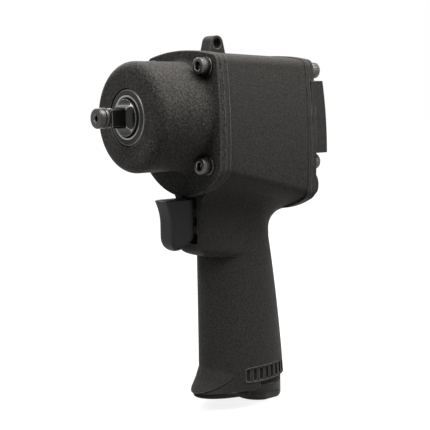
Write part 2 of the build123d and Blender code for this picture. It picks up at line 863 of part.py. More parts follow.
with BuildPart() as motor_housing:
    flared_foot((0, 30, 60, 90), 0)
    with BuildSketch(Plane.YZ):
        with BuildLine():
            under = (foot_front, grip_bottom)
            rear_end = (foot_front + housing_length, grip_bottom + housing_length * tan(radians(foot_slope)))
            Polyline(under, rear_end, (rear_end[0], grip_bottom), close=True)
        make_face()
    extrude(amount=2 * grip_bottom_half_width, both=True, mode=Mode.SUBTRACT)
    flared_foot((30, 60, 90), deflector_lip)

    ahead = body_section(housing_front - overrun * housing_length, -overrun, rim_proud)
    behind = body_section(housing_rear + overrun * housing_length, 1 + overrun, rim_proud)
    loft([ahead, behind])
    neck_end = neck_section(lip_top, 1)
    neck_back = grip_front + grip_top_depth - neck_back_draw
    neck_root = oval(-bore_radius, housing_front, neck_middle, neck_back, neck_half_width, neck_flat)
    loft([neck_end, neck_root])
    fillet(motor_housing.edges(Select.NEW), neck_blend)
    with Locations((0, (housing_front + housing_rear) / 2, 0)):
        Box(4 * half_width, housing_length, 6 * grip_length, mode=Mode.INTERSECT)
    for rim_front, share in ((housing_front, 0), (housing_rear - rim_width, 1)):
        extrude(body_section(rim_front, share), amount=-rim_width)

    lip_turns = [radians(turn) for turn in (0, 30, 60, 90)]
    loft([neck_section(lip_top - lip_height * sin(turn), cos(turn)) for turn in lip_turns])
    grip_top = neck_bottom + grip_overlap
    loft([grip_section(z) for z in (grip_top, (grip_top + grip_bottom) / 2, grip_bottom)])

    with BuildSketch(Plane.YZ):
        with Locations((lug_y, lug_z)):
            Circle(lug_radius)
        with Locations((lug_y, lug_roof - lug_rise / 2)):
            Rectangle(lug_base, lug_rise)
        make_hull()
    extrude(amount=lug_thickness / 2, both=True)
    with BuildSketch(Plane.YZ):
        with Locations((lug_y, lug_z)):
            Circle(lug_hole_radius)
    extrude(amount=lug_thickness, both=True, mode=Mode.SUBTRACT)

    rod(cavity_radius, housing_front, front_plate_front, mode=Mode.SUBTRACT)
    rod(bore_radius, front_plate_front, housing_rear, mode=Mode.SUBTRACT)
    rods(screw_hole_radius, housing_front, housing_front + screw_bite, front_screw_places, Mode.SUBTRACT)
    rods(screw_hole_radius, housing_rear - screw_bite, housing_rear, rear_screw_places, Mode.SUBTRACT)
    valve_bore = reverse_valve_radius + running_fit
    rod(valve_bore, reverse_valve_front - end_play, housing_rear, (0, lever_z), Mode.SUBTRACT)
    for x in (valve_port_x, -valve_port_x):
        post(valve_port_radius, lever_z, -cylinder_bore, (x, valve_port_y), Mode.SUBTRACT)

    with BuildSketch(station(housing_front)):
        with Locations((0, (pocket_top + pocket_bottom) / 2)):
            Rectangle(trigger_width + 2 * loose_fit, pocket_top - pocket_bottom)
    extrude(amount=-pocket_depth, mode=Mode.SUBTRACT)
    rod(throttle_radius + seat_fit, throttle_bush_front, chamber_rear, (0, throttle_z), Mode.SUBTRACT)
    guide_place = (0, trigger_bottom + trigger_heel_rise + guide_pin_wall + guide_pin_radius)
    guide_rear = throttle_bush_front + guide_pin_bite + trigger_travel
    rod(guide_pin_radius + running_fit, throttle_bush_front, guide_rear, guide_place, Mode.SUBTRACT)
    feed_end = (0, reverse_valve_front + reverse_groove_length / 2, lever_z)
    passage(feed_radius, (0, feed_y, throttle_z + throttle_counterbore_radius), feed_end)

    boss_room = inlet_y + grip_bottom_depth - deflector_rear
    with BuildSketch(Plane.XY.offset(grip_bottom)):
        with Locations((0, deflector_rear)):
            Rectangle(4 * grip_bottom_half_width, boss_room, align=(Align.CENTER, Align.MIN))
        with Locations((0, inlet_y)):
            Circle(inlet_radius, mode=Mode.SUBTRACT)
    extrude(amount=inlet_boss_height, mode=Mode.SUBTRACT)
    post(inlet_spigot_radius + seat_fit, grip_bottom, inlet_top, (0, inlet_y), Mode.SUBTRACT)
    inlet_end = (0, chamber_rear - inlet_passage_radius, throttle_z)
    passage(inlet_passage_radius, (0, inlet_y, inlet_top), inlet_end)
    with BuildSketch(Plane.XY.offset(grip_bottom)):
        with Locations((0, exhaust_y)):
            Ellipse(exhaust_half_width, exhaust_half_depth)
    extrude(amount=exhaust_height, mode=Mode.SUBTRACT)
    duct_bottom = grip_bottom + exhaust_height - exhaust_duct_radius
    exhaust_duct_x = throttle_radius + exhaust_duct_wall + exhaust_duct_radius
    for x in (exhaust_duct_x, -exhaust_duct_x):
        duct_place = (x, housing_front + exhaust_duct_setback)
        post(exhaust_duct_radius, duct_bottom, -cylinder_bore, duct_place, Mode.SUBTRACT)
    screw_place = (0, deflector_screw_y)
    screw_top = grip_bottom + deflector_screw_bite
    post(deflector_screw_radius + seat_fit, grip_bottom, screw_top, screw_place, Mode.SUBTRACT)

    slot_bottom = grip_bottom + inlet_boss_height + slot_lip
    slot_top = slot_bottom + slot_height
    slot_floors = [grip_section(z, slot_depth) for z in (slot_bottom, slot_top)]
    core = loft(slot_floors, mode=Mode.PRIVATE)
    with BuildSketch(Plane.YZ, mode=Mode.PRIVATE) as slots:
        with Locations((grip_front + slot_setback, (slot_bottom + slot_top) / 2)):
            with GridLocations(slot_pitch, 1, slot_count, 1, align=(Align.MIN, Align.CENTER)):
                SlotOverall(slot_height, slot_width, rotation=90)
    bars = extrude(slots.sketch, amount=2 * grip_bottom_half_width, both=True, mode=Mode.PRIVATE)
    add(bars - core, mode=Mode.SUBTRACT)
motor_housing.part.label = "motor_housing"
export_step(motor_housing.part, "parts/motor_housing.step")


# Gaskets under the case flange and under the rear cover
with BuildPart() as case_gasket:
    extrude(body_section(case_rear, 0), amount=-gasket_thickness)
    rod(cavity_radius, case_rear, housing_front, mode=Mode.SUBTRACT)
    rods(screw_hole_radius, case_rear, housing_front, front_screw_places, Mode.SUBTRACT)
case_gasket.part.label = "case_gasket"
export_step(case_gasket.part, "parts/case_gasket.step")

with BuildPart() as rear_gasket:
    extrude(body_section(housing_rear, 1), amount=-gasket_thickness)
    rod(bore_radius, housing_rear, cover_front, mode=Mode.SUBTRACT)
    rod(valve_bore, housing_rear, cover_front, (0, lever_z), Mode.SUBTRACT)
    rods(screw_hole_radius, housing_rear, cover_front, rear_screw_places, Mode.SUBTRACT)
rear_gasket.part.label = "rear_gasket"
export_step(rear_gasket.part, "parts/rear_gasket.step")


# Rear cover: flange, raised pad between the screws, a lower heel, and the spigot that clamps the motor
hub_front = cover_rear + end_play
lever_bar_front = cover_rear + lock_washer_thickness + screw_head_height + rear_head_gap
lever_rear = lever_bar_front + lever_thickness
detent_pitch_radius = reverse_stem_radius + detent_wall + detent_ball_radius
lever_hub_radius = detent_pitch_radius + detent_ball_radius + lever_hub_wall
detent_y = hub_front + detent_ball_radius - detent_show
detent_turns = (radians(-90), radians(-90 - 2 * lever_lift))
detent_places = [
    (detent_pitch_radius * cos(turn), lever_z + detent_pitch_radius * sin(turn)) for turn in detent_turns
]
with BuildPart() as rear_cover:
    extrude(body_section(cover_front, 1), amount=-cover_flange)
    chamfer(rear_cover.faces().sort_by(Axis.Y)[-1].edges(), edge_chamfer)
    with BuildSketch(Plane.YZ):
        with BuildLine():
            pad_upper = (cover_rear + pad_height_top, pad_top)
            pad_lower = (cover_rear + pad_height_bottom, pad_bottom)
            pad_middle = (cover_rear + pad_height_middle, (pad_top + pad_bottom) / 2)
            ThreePointArc(pad_upper, pad_middle, pad_lower)
            Polyline(pad_lower, (cover_front, pad_bottom), (cover_front, pad_top), pad_upper)
        make_face()
    extrude(amount=half_width - pad_inset, both=True)
    fillet(rear_cover.faces().sort_by(Axis.Y)[-1].edges(), pad_round)
    heel_outline = body_section(cover_front, 1, heel_inset)
    heel = extrude(heel_outline, amount=-cover_flange - heel_height, mode=Mode.PRIVATE)
    with BuildSketch(Plane.YZ, mode=Mode.PRIVATE) as heel_side:
        with BuildLine():
            heel_top = (cover_rear, rear_screw_bottom - lock_washer_radius - heel_gap)
            heel_brow = (cover_rear + heel_height, heel_top[1] - heel_rise)
            TangentArc(heel_brow, heel_top, tangent=(0, 1))
            Polyline(heel_top, (cover_front, heel_top[1]), (cover_front, rear_bottom))
            Polyline((cover_front, rear_bottom), (heel_brow[0], rear_bottom), heel_brow)
        make_face()
    add(heel & extrude(heel_side.sketch, amount=half_width, both=True, mode=Mode.PRIVATE))
    heel_face = rear_cover.faces().filter_by(Axis.Y).sort_by(Axis.Y)[-1]
    fillet(heel_face.edges().filter_by(GeomType.LINE, reverse=True), heel_round)
    rod(lever_hub_radius + rear_head_gap, cover_rear, heel_brow[0], (0, lever_z), Mode.SUBTRACT)
    spigot_radius = bore_radius - running_fit
    ring(spigot_radius, spigot_radius - spigot_wall, rear_plate_rear, cover_front)
    rods(screw_hole_radius, cover_front, cover_rear, rear_screw_places, Mode.SUBTRACT)
    rod(reverse_stem_radius + running_fit, cover_front, cover_rear, (0, lever_z), Mode.SUBTRACT)
    for x, z in detent_places:
        with Locations((x, detent_y, z)):
            Sphere(detent_ball_radius + running_fit, mode=Mode.SUBTRACT)
rear_cover.part.label = "rear_cover"
export_step(rear_cover.part, "parts/rear_cover.step")


# Screws and split washers, four at the front and four at the rear
with BuildPart() as case_screws:
    front_screw_length = lock_washer_thickness + flange_thickness + gasket_thickness + screw_bite
    cap_screws(front_screw_places, flange_front, front_screw_length, -1)
case_screws.part.label = "case_screws"
export_step(case_screws.part, "parts/case_screws.step")

with BuildPart() as case_lock_washers:
    lock_washers(front_screw_places, flange_front - lock_washer_thickness)
case_lock_washers.part.label = "case_lock_washers"
export_step(case_lock_washers.part, "parts/case_lock_washers.step")

with BuildPart() as rear_screws:
    rear_screw_length = lock_washer_thickness + cover_flange + gasket_thickness + screw_bite
    cap_screws(rear_screw_places, cover_rear, rear_screw_length, 1)
rear_screws.part.label = "rear_screws"
export_step(rear_screws.part, "parts/rear_screws.step")

with BuildPart() as rear_lock_washers:
    lock_washers(rear_screw_places, cover_rear)
rear_lock_washers.part.label = "rear_lock_washers"
export_step(rear_lock_washers.part, "parts/rear_lock_washers.step")


# Trigger: a hollow-fronted finger piece on a stem, kept upright by a guide pin
with BuildPart() as trigger:
    tip_y = housing_front - trigger_tip_reach
    waist_y = housing_front - trigger_waist_reach
    heel_y = trigger_rear - trigger_heel
    heel_z = trigger_bottom + trigger_heel_rise
    with BuildSketch(Plane.YZ):
        with BuildLine():
            chin = (waist_y, trigger_bottom + 2 * trigger_heel_rise)
            front = ThreePointArc((tip_y, trigger_top), (waist_y, throttle_z), chin)
            chin_end = (heel_y, trigger_bottom)
            TangentArc(chin, chin_end, tangent=front % 1)
            waist_rear = trigger_rear - trigger_travel
            Polyline(
                chin_end,
                (waist_rear, heel_z),
                (trigger_rear, heel_z),
                (trigger_rear, trigger_top),
                (tip_y, trigger_top),
            )
        make_face()
    extrude(amount=trigger_width / 2, both=True)
    sides = trigger.faces().filter_by(Axis.X).edges()
    fillet(sides.filter_by(GeomType.CIRCLE), trigger_edge_round)
    rod(stem_radius + seat_fit, trigger_rear - stem_bite, trigger_rear, (0, throttle_z), Mode.SUBTRACT)
    rod(guide_pin_radius + seat_fit, trigger_rear - guide_pin_bite, trigger_rear, guide_place, Mode.SUBTRACT)
trigger.part.label = "trigger"
export_step(trigger.part, "parts/trigger.step")

with BuildPart() as trigger_stem:
    rod(stem_radius, trigger_rear - stem_bite, throttle_seat - end_play, (0, throttle_z))
trigger_stem.part.label = "trigger_stem"
export_step(trigger_stem.part, "parts/trigger_stem.step")

with BuildPart() as trigger_guide_pin:
    pin_rear = throttle_bush_front + guide_pin_bite - end_play
    rod(guide_pin_radius, trigger_rear - guide_pin_bite, pin_rear, guide_place)
trigger_guide_pin.part.label = "trigger_guide_pin"
export_step(trigger_guide_pin.part, "parts/trigger_guide_pin.step")


# Throttle: bush with a port, its O-ring, and the valve that a spring holds against the bush
o_ring_y = throttle_bush_front + 2 * o_ring_radius + end_play
with BuildPart() as throttle_bush:
    rod(throttle_radius, throttle_bush_front, throttle_seat, (0, throttle_z))
    rod(stem_radius + running_fit, throttle_bush_front, throttle_seat, (0, throttle_z), Mode.SUBTRACT)
    counterbore_front = throttle_seat - throttle_counterbore_depth
    rod(throttle_counterbore_radius, counterbore_front, throttle_seat, (0, throttle_z), Mode.SUBTRACT)
    post(throttle_port_radius, throttle_z, throttle_z + throttle_radius, (0, feed_y), Mode.SUBTRACT)
    groove_half = o_ring_radius + seat_fit
    with BuildSketch(station(o_ring_y - groove_half)):
        with Locations((0, throttle_z)):
            Circle(throttle_radius)
            Circle(throttle_radius - 2 * o_ring_radius, mode=Mode.SUBTRACT)
    extrude(amount=-2 * groove_half, mode=Mode.SUBTRACT)
throttle_bush.part.label = "throttle_bush"
export_step(throttle_bush.part, "parts/throttle_bush.step")

with BuildPart() as throttle_o_ring:
    with Locations(Location((0, o_ring_y, throttle_z), (90, 0, 0))):
        Torus(throttle_radius - o_ring_radius, o_ring_radius)
throttle_o_ring.part.label = "throttle_o_ring"
export_step(throttle_o_ring.part, "parts/throttle_o_ring.step")

valve_radius = throttle_counterbore_radius + valve_land
valve_front = throttle_seat + running_fit
valve_rear = valve_front + valve_thickness
with BuildPart() as throttle_valve:
    rod(valve_radius, valve_front, valve_rear, (0, throttle_z))
    rod(valve_tail_radius, valve_rear, valve_rear + valve_tail_length, (0, throttle_z))
throttle_valve.part.label = "throttle_valve"
export_step(throttle_valve.part, "parts/throttle_valve.step")

with BuildPart() as throttle_spring:
    spring_radius = valve_tail_radius + 2 * spring_wire_radius
    spring_front = valve_rear + spring_wire_radius + seat_fit
    spring_rear = chamber_rear - spring_wire_radius - seat_fit
    spring_place = (0, throttle_z)
    coil(spring_front, spring_rear, throttle_spring_turns, spring_radius, spring_wire_radius, spring_place)
throttle_spring.part.label = "throttle_spring"
export_step(throttle_spring.part, "parts/throttle_spring.step")


def flatted_stem(grow):
    """The reversing stem's section, with two flats that the lever fits over."""
    with Locations((0, lever_z)):
        Circle(reverse_stem_radius + grow)
        Rectangle(4 * reverse_stem_radius, 2 * (stem_flat + grow), rotation=lever_lift, mode=Mode.INTERSECT)


# Reversing valve: grooved spool in the housing, with a stem out through the cover
head_seat = lever_rear - lever_screw_head_height
with BuildPart() as reverse_valve:
    rod(reverse_valve_radius, reverse_valve_front, housing_rear - end_play, (0, lever_z))
    for groove_start in (reverse_valve_front + end_play, valve_port_y - reverse_groove_length / 2):
        with BuildSketch(station(groove_start)):
            with Locations((0, lever_z)):
                Circle(reverse_valve_radius)
                Circle(reverse_valve_radius - reverse_groove_depth, mode=Mode.SUBTRACT)
        extrude(amount=-reverse_groove_length, mode=Mode.SUBTRACT)
    rod(reverse_stem_radius, housing_rear - end_play, hub_front, (0, lever_z))
    with BuildSketch(station(hub_front)):
        flatted_stem(0)
    extrude(amount=hub_front - head_seat + seat_fit)
    rod(lever_screw_radius + seat_fit, head_seat - lever_screw_bite, head_seat, (0, lever_z), Mode.SUBTRACT)
reverse_valve.part.label = "reverse_valve"
export_step(reverse_valve.part, "parts/reverse_valve.step")

detent_hole_radius = detent_ball_radius + running_fit
detent_hole_rear = detent_y + detent_hole_depth
with BuildPart() as reverse_lever:
    rod(lever_hub_radius, hub_front, lever_rear, (0, lever_z))
    with BuildSketch(station(lever_bar_front)):
        with Locations((0, lever_z)):
            SlotCenterToCenter(2 * lever_arm, lever_width, rotation=lever_lift)
    extrude(amount=-lever_thickness)
    fillet(reverse_lever.faces().sort_by(Axis.Y)[-1].edges(), pad_round)
    with BuildSketch(station(hub_front)):
        flatted_stem(seat_fit)
    extrude(amount=hub_front - head_seat, mode=Mode.SUBTRACT)
    head_hole_radius = lever_screw_head_radius + seat_fit
    rod(head_hole_radius, head_seat, lever_rear, (0, lever_z), Mode.SUBTRACT)
    rod(detent_hole_radius, hub_front, detent_hole_rear, detent_places[0], Mode.SUBTRACT)
reverse_lever.part.label = "reverse_lever"
export_step(reverse_lever.part, "parts/reverse_lever.step")

with BuildPart() as lever_screw:
    rod(lever_screw_head_radius, head_seat, lever_rear, (0, lever_z))
    rod(lever_screw_radius, head_seat - lever_screw_bite + end_play, head_seat, (0, lever_z))
    with BuildSketch(station(lever_rear)):
        with Locations((0, lever_z)):
            RegularPolygon(lever_screw_socket / 2, 6, major_radius=False)
    extrude(amount=lever_screw_socket_depth, mode=Mode.SUBTRACT)
lever_screw.part.label = "lever_screw"
export_step(lever_screw.part, "parts/lever_screw.step")

with BuildPart() as detent_ball:
    with Locations((detent_places[0][0], detent_y, detent_places[0][1])):
        Sphere(detent_ball_radius)
detent_ball.part.label = "detent_ball"
export_step(detent_ball.part, "parts/detent_ball.step")

with BuildPart() as detent_spring:
    detent_coil = detent_ball_radius - 2 * detent_wire
    detent_front = detent_y + detent_ball_radius
    detent_rear = detent_hole_rear - detent_wire - seat_fit
    coil(detent_front, detent_rear, detent_spring_turns, detent_coil, detent_wire, detent_places[0])
detent_spring.part.label = "detent_spring"
export_step(detent_spring.part, "parts/detent_spring.step")


# Air inlet: threaded bush with wrench flats, its gasket, and a screen at the end of the thread
thread_top = inlet_bottom + inlet_thread_length
inlet_place = (0, inlet_y)
flange_top = inlet_bottom + inlet_flange_height
screen_radius = (inlet_thread_radius + inlet_passage_radius) / 2
with BuildPart() as inlet_bush:
    with BuildSketch(Plane.XY.offset(inlet_bottom)):
        with Locations(inlet_place):
            Circle(inlet_radius)
            Rectangle(inlet_flats, 4 * inlet_radius, mode=Mode.INTERSECT)
    extrude(amount=inlet_flat_height)
    fillet(inlet_bush.faces().sort_by(Axis.Z)[0].edges(), inlet_round)
    post(inlet_radius, inlet_bottom + inlet_flat_height, flange_top, inlet_place)
    post(inlet_spigot_radius, flange_top, inlet_top - end_play, inlet_place)
    post(inlet_thread_radius, inlet_bottom, thread_top, inlet_place, Mode.SUBTRACT)
    post(screen_radius + seat_fit, thread_top, thread_top + screen_thickness, inlet_place, Mode.SUBTRACT)
    post(inlet_passage_radius - end_play, thread_top, inlet_top, inlet_place, Mode.SUBTRACT)
inlet_bush.part.label = "inlet_bush"
export_step(inlet_bush.part, "parts/inlet_bush.step")

with BuildPart() as inlet_gasket:
    post(inlet_radius - inlet_round, flange_top, grip_bottom, inlet_place)
    post(inlet_spigot_radius + seat_fit, flange_top, grip_bottom, inlet_place, Mode.SUBTRACT)
inlet_gasket.part.label = "inlet_gasket"
export_step(inlet_gasket.part, "parts/inlet_gasket.step")

with BuildPart() as inlet_screen:
    post(screen_radius, thread_top, thread_top + screen_thickness, inlet_place)
    with BuildSketch(Plane.XY.offset(thread_top)):
        with Locations(inlet_place):
            with HexLocations(screen_hole_pitch / 2, 4, 4):
                Circle(screen_hole_radius)
    extrude(amount=screen_thickness, mode=Mode.SUBTRACT)
inlet_screen.part.label = "inlet_screen"
export_step(inlet_screen.part, "parts/inlet_screen.step")


# Exhaust: silencer block in the grip's chamber, and the plate that turns the air forward
silencer_bottom = grip_bottom + exhaust_height - silencer_top_gap - silencer_height
slot_places = [(0, exhaust_y + step * exhaust_half_depth / 2) for step in (-1, 0, 1)]
with BuildPart() as exhaust_silencer:
    with BuildSketch(Plane.XY.offset(silencer_bottom)):
        with Locations((0, exhaust_y)):
            Ellipse(exhaust_half_width - seat_fit, exhaust_half_depth - seat_fit)
            with GridLocations(exhaust_half_width / 2, exhaust_half_depth / 2, 3, 2):
                Circle(silencer_hole_radius, mode=Mode.SUBTRACT)
    extrude(amount=silencer_height)
exhaust_silencer.part.label = "exhaust_silencer"
export_step(exhaust_silencer.part, "parts/exhaust_silencer.step")

with BuildPart() as exhaust_deflector:
    plate_rear = exhaust_y + exhaust_half_depth + deflector_cover
    with BuildSketch(Plane.XY.offset(grip_bottom)):
        add(foot_section(grip_bottom, foot_front, deflector_lip))
        with Locations((0, plate_rear)):
            Rectangle(4 * half_width, 4 * grip_length, align=(Align.CENTER, Align.MAX), mode=Mode.INTERSECT)
    extrude(amount=-deflector_thickness)
    fillet(exhaust_deflector.faces().sort_by(Axis.Z)[0].edges(), edge_chamfer)
    with BuildSketch(Plane.XY.offset(grip_bottom)):
        with Locations((0, (exhaust_y + deflector_rear) / 2)):
            Rectangle(deflector_tab_width, deflector_rear - exhaust_y)
    extrude(amount=-deflector_thickness)
    with BuildSketch(Plane.XY.offset(grip_bottom - deflector_thickness)):
        with Locations(*slot_places):
            SlotOverall(deflector_slot_length, deflector_slot_width)
    extrude(amount=deflector_thickness, mode=Mode.SUBTRACT)
    plate_bottom = grip_bottom - deflector_thickness
    post(deflector_screw_radius + seat_fit, plate_bottom, grip_bottom, screw_place, Mode.SUBTRACT)
    head_top = plate_bottom + deflector_screw_head_height
    post(deflector_screw_head_radius + seat_fit, plate_bottom, head_top, screw_place, Mode.SUBTRACT)
exhaust_deflector.part.label = "exhaust_deflector"
export_step(exhaust_deflector.part, "parts/exhaust_deflector.step")

with BuildPart() as deflector_screw:
    post(deflector_screw_head_radius, plate_bottom, head_top, screw_place)
    post(deflector_screw_radius, head_top, screw_top - end_play, screw_place)
    with BuildSketch(Plane.XY.offset(plate_bottom)):
        with Locations(screw_place):
            RegularPolygon(deflector_screw_socket / 2, 6, major_radius=False)
    extrude(amount=deflector_screw_socket_depth, mode=Mode.SUBTRACT)
deflector_screw.part.label = "deflector_screw"
export_step(deflector_screw.part, "parts/deflector_screw.step")
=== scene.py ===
# %% [markdown]
# # A small air impact wrench in a studio
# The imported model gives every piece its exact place, and this lesson dresses it.
# First come the camera and the light, then the finishes, then the pieces that need
# finer shapes than a plain solid has: screws, washers, drive end, trigger, thread,
# spring, foot and slot frame.

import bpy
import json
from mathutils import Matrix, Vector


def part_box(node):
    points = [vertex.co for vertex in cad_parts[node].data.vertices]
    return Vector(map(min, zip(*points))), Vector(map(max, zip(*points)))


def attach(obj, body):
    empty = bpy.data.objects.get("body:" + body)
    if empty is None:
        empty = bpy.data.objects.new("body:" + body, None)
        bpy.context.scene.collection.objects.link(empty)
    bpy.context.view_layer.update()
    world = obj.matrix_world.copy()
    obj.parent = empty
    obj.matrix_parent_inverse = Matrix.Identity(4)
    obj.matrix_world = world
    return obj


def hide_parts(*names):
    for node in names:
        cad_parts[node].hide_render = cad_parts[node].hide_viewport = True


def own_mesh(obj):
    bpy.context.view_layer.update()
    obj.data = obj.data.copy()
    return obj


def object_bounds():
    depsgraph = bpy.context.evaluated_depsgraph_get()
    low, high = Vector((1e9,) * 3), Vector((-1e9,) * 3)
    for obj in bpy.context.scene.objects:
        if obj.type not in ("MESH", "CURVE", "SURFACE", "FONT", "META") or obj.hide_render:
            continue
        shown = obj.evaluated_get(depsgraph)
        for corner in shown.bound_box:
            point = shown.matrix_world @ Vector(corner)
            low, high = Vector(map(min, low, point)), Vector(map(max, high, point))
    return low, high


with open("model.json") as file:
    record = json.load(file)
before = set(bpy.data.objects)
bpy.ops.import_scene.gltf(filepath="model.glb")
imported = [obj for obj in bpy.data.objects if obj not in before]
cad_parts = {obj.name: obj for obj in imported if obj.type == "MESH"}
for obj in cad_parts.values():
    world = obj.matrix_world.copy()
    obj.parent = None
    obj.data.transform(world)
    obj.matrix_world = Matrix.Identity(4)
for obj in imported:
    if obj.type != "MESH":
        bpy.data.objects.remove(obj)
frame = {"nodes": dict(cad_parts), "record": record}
print("packed pieces:", len(frame["nodes"]))

# %% [markdown]
# ## Units and box
# Blender measures in metres, and these pieces are a few millimetres large. So lengths are
# written in millimetres and multiplied by one short value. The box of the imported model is
# kept, because whatever is made here has to stay inside it.

# %% Units and the model's box
import json
from math import radians

import bmesh
import bpy
import numpy as np
from mathutils import Matrix, Vector

mm = 0.001
cad_box = [list(corner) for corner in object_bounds()]


def rounded_mm(box):
    """A box's corners in mm, rounded for printing."""
    return [[round(v / mm, 1) for v in corner] for corner in box]


print("box in mm:", rounded_mm(cad_box))

# %% [markdown]
# ## Camera
# The photograph was taken from the front and a little above the drive, from well back,
# so parallel edges hardly converge. A camera can be turned by hand until it looks right,
# but here its place, aim and roll are written down, so that the view is the same each run.

# %% Camera
camera_place = Vector((406.212, -287.377, 6.418)) * mm
camera_aim = Vector((0.0, 59.569, -52.624)) * mm
camera_roll = radians(-0.907)
camera_lens = 84.69
camera_nearest = 10 * mm


def camera_turn(place, aim, roll):
    """A camera's matrix: its back points from aim to place, and roll turns it about its back."""
    back = (place - aim).normalized()
    right = Vector((0, 0, 1)).cross(back).normalized()
    level = Matrix((right, back.cross(right), back)).transposed()
    return Matrix.Translation(place) @ level.to_4x4() @ Matrix.Rotation(roll, 4, "Z")


camera = bpy.data.objects.new("camera", bpy.data.cameras.new("camera"))
camera.data.lens = camera_lens
camera.data.clip_start = camera_nearest
camera.matrix_world = camera_turn(camera_place, camera_aim, camera_roll)
bpy.context.scene.collection.objects.link(camera)
bpy.context.scene.camera = camera
bpy.context.scene.view_settings.view_transform = "Standard"
print("camera is", round((camera_place - camera_aim).length, 3), "m from its aim")

# %% [markdown]
# ## Nodes in a few lines
# A material is a small graph. Adding each node and each link by hand takes many lines,
# so one helper adds a node, sets its options, and fills its sockets with numbers or links.

# %% Node helpers


def fill_socket(tree, socket, value):
    """A socket's value, or a link into it from another node's output."""
    if isinstance(value, bpy.types.NodeSocket):
        tree.links.new(value, socket)
    else:
        socket.default_value = value


def add_node(tree, kind, sockets=None, **options):
    """One new node, with its options set and its sockets filled."""
    made = tree.nodes.new(kind)
    for option, value in options.items():
        setattr(made, option, value)
    for socket, value in (sockets or {}).items():
        fill_socket(tree, made.inputs[socket], value)
    return made


def calculate(tree, operation, first, second=0.0):
    """The result of one sum on values."""
    return add_node(tree, "ShaderNodeMath", {0: first, 1: second}, operation=operation).outputs[0]


def scaled(tree, value, factor):
    """A value made smaller or larger."""
    return calculate(tree, "MULTIPLY", value, factor)


def mapped(tree, value, low, high, to_low=0.0, to_high=1.0):
    """A value stretched from one range to another, and held inside the second."""
    sockets = {"Value": value, "From Min": low, "From Max": high}
    sockets |= {"To Min": to_low, "To Max": to_high}
    return add_node(tree, "ShaderNodeMapRange", sockets).outputs["Result"]


def blended(tree, share, first, second):
    """A colour that goes from first to second as the share goes from 0 to 1."""
    sockets = {0: share, 6: first, 7: second}
    return add_node(tree, "ShaderNodeMix", sockets, data_type="RGBA").outputs[2]


def noise(tree, vector, scale, detail=2.0, roughness=0.5):
    """Soft random values about 0.5, scale of them to the metre."""
    sockets = {"Vector": vector, "Scale": scale, "Detail": detail, "Roughness": roughness}
    return add_node(tree, "ShaderNodeTexNoise", sockets).outputs["Fac"]


def vector_length(tree, vector):
    """A vector's length."""
    return add_node(tree, "ShaderNodeVectorMath", {0: vector}, operation="LENGTH").outputs["Value"]


def new_group(name, inputs, outputs):
    """An empty node group with named sockets. Gives the tree, its inputs and its outputs."""
    tree = bpy.data.node_groups.new(name, "ShaderNodeTree")
    for side, sockets in (("INPUT", inputs), ("OUTPUT", outputs)):
        for socket, kind in sockets.items():
            tree.interface.new_socket(name=socket, in_out=side, socket_type=f"NodeSocket{kind}")
    return tree, tree.nodes.new("NodeGroupInput").outputs, tree.nodes.new("NodeGroupOutput").inputs


print("node helpers ready")

# %% [markdown]
# ## Light and floor
# The photograph has a white sweep and one broad soft light overhead, with little coming
# back from below. A world picture could light the tool, but it would light the underside as
# well. So the world is white to the camera and in reflections only, and dim as a lamp.

# %% World
world_glow = 0.03
white = (1, 1, 1, 1)


def seen_directly(tree):
    """1 where a ray comes from the camera, from a reflection or through glass, and 0 elsewhere."""
    path = add_node(tree, "ShaderNodeLightPath").outputs
    either = calculate(tree, "MAXIMUM", path["Is Camera Ray"], path["Is Glossy Ray"])
    return calculate(tree, "MAXIMUM", either, path["Is Transmission Ray"])


world = bpy.data.worlds.new("studio")
world.use_nodes = True
world_tree = world.node_tree
world_tree.nodes.clear()
world_light = mapped(world_tree, seen_directly(world_tree), 0, 1, world_glow, 1)
sky_sockets = {"Color": white, "Strength": world_light}
sky = add_node(world_tree, "ShaderNodeBackground", sky_sockets).outputs[0]
add_node(world_tree, "ShaderNodeOutputWorld", {"Surface": sky})
bpy.context.scene.world = world
print("world glow", world_glow)

# %% [markdown]
# ### Lamps
# A soft box is a square area lamp: the larger it is, the softer its shadows. A warm one
# stands above, one in front lights the round case, and two weaker ones at the sides draw
# the edges out of the dark. A lamp shines along its own back to front, as a camera looks, so
# the camera's matrix aims it too.

# %% Lamps
lamp_plan = {
    "key_above": {"place": (140, 160, 400), "size": 300, "power": 4.2, "tint": (1, 0.96, 0.90)},
    "front_high": {"place": (60, -480, 460), "size": 420, "power": 3.2, "tint": (1, 0.99, 0.98)},
    "side_back": {"place": (420, 420, 300), "size": 420, "power": 1.3, "tint": (1, 1, 1)},
    "side_left": {"place": (-420, 100, 300), "size": 420, "power": 2.4, "tint": (1, 1, 1)},
}


def add_lamp(name, place, size, power, tint):
    """A square soft box at place, in mm, aimed at the middle of the tool."""
    data = bpy.data.lights.new(name, "AREA")
    data.size = size * mm
    data.energy = power
    data.color = tint
    lamp = bpy.data.objects.new(name, data)
    lamp.matrix_world = camera_turn(Vector(place) * mm, camera_aim, 0)
    bpy.context.scene.collection.objects.link(lamp)


for lamp_name, plan in lamp_plan.items():
    add_lamp(lamp_name, **plan)
print("lamps:", list(lamp_plan))

# %% [markdown]
# ### Floor
# The tool stands on a pale floor that takes a faint shadow. A white floor would throw light
# up at the grip, so the floor is grey to the lamps, and a glow that only the camera and
# reflections see makes it pale. The glow is weaker near the tool, where the shadow lies.

# %% Floor
floor_reach = 6.0
floor_shade = (0.24, 0.24, 0.24, 1)
floor_near, floor_far = 0.86, 1.05
floor_fade = (0.2, 0.7)

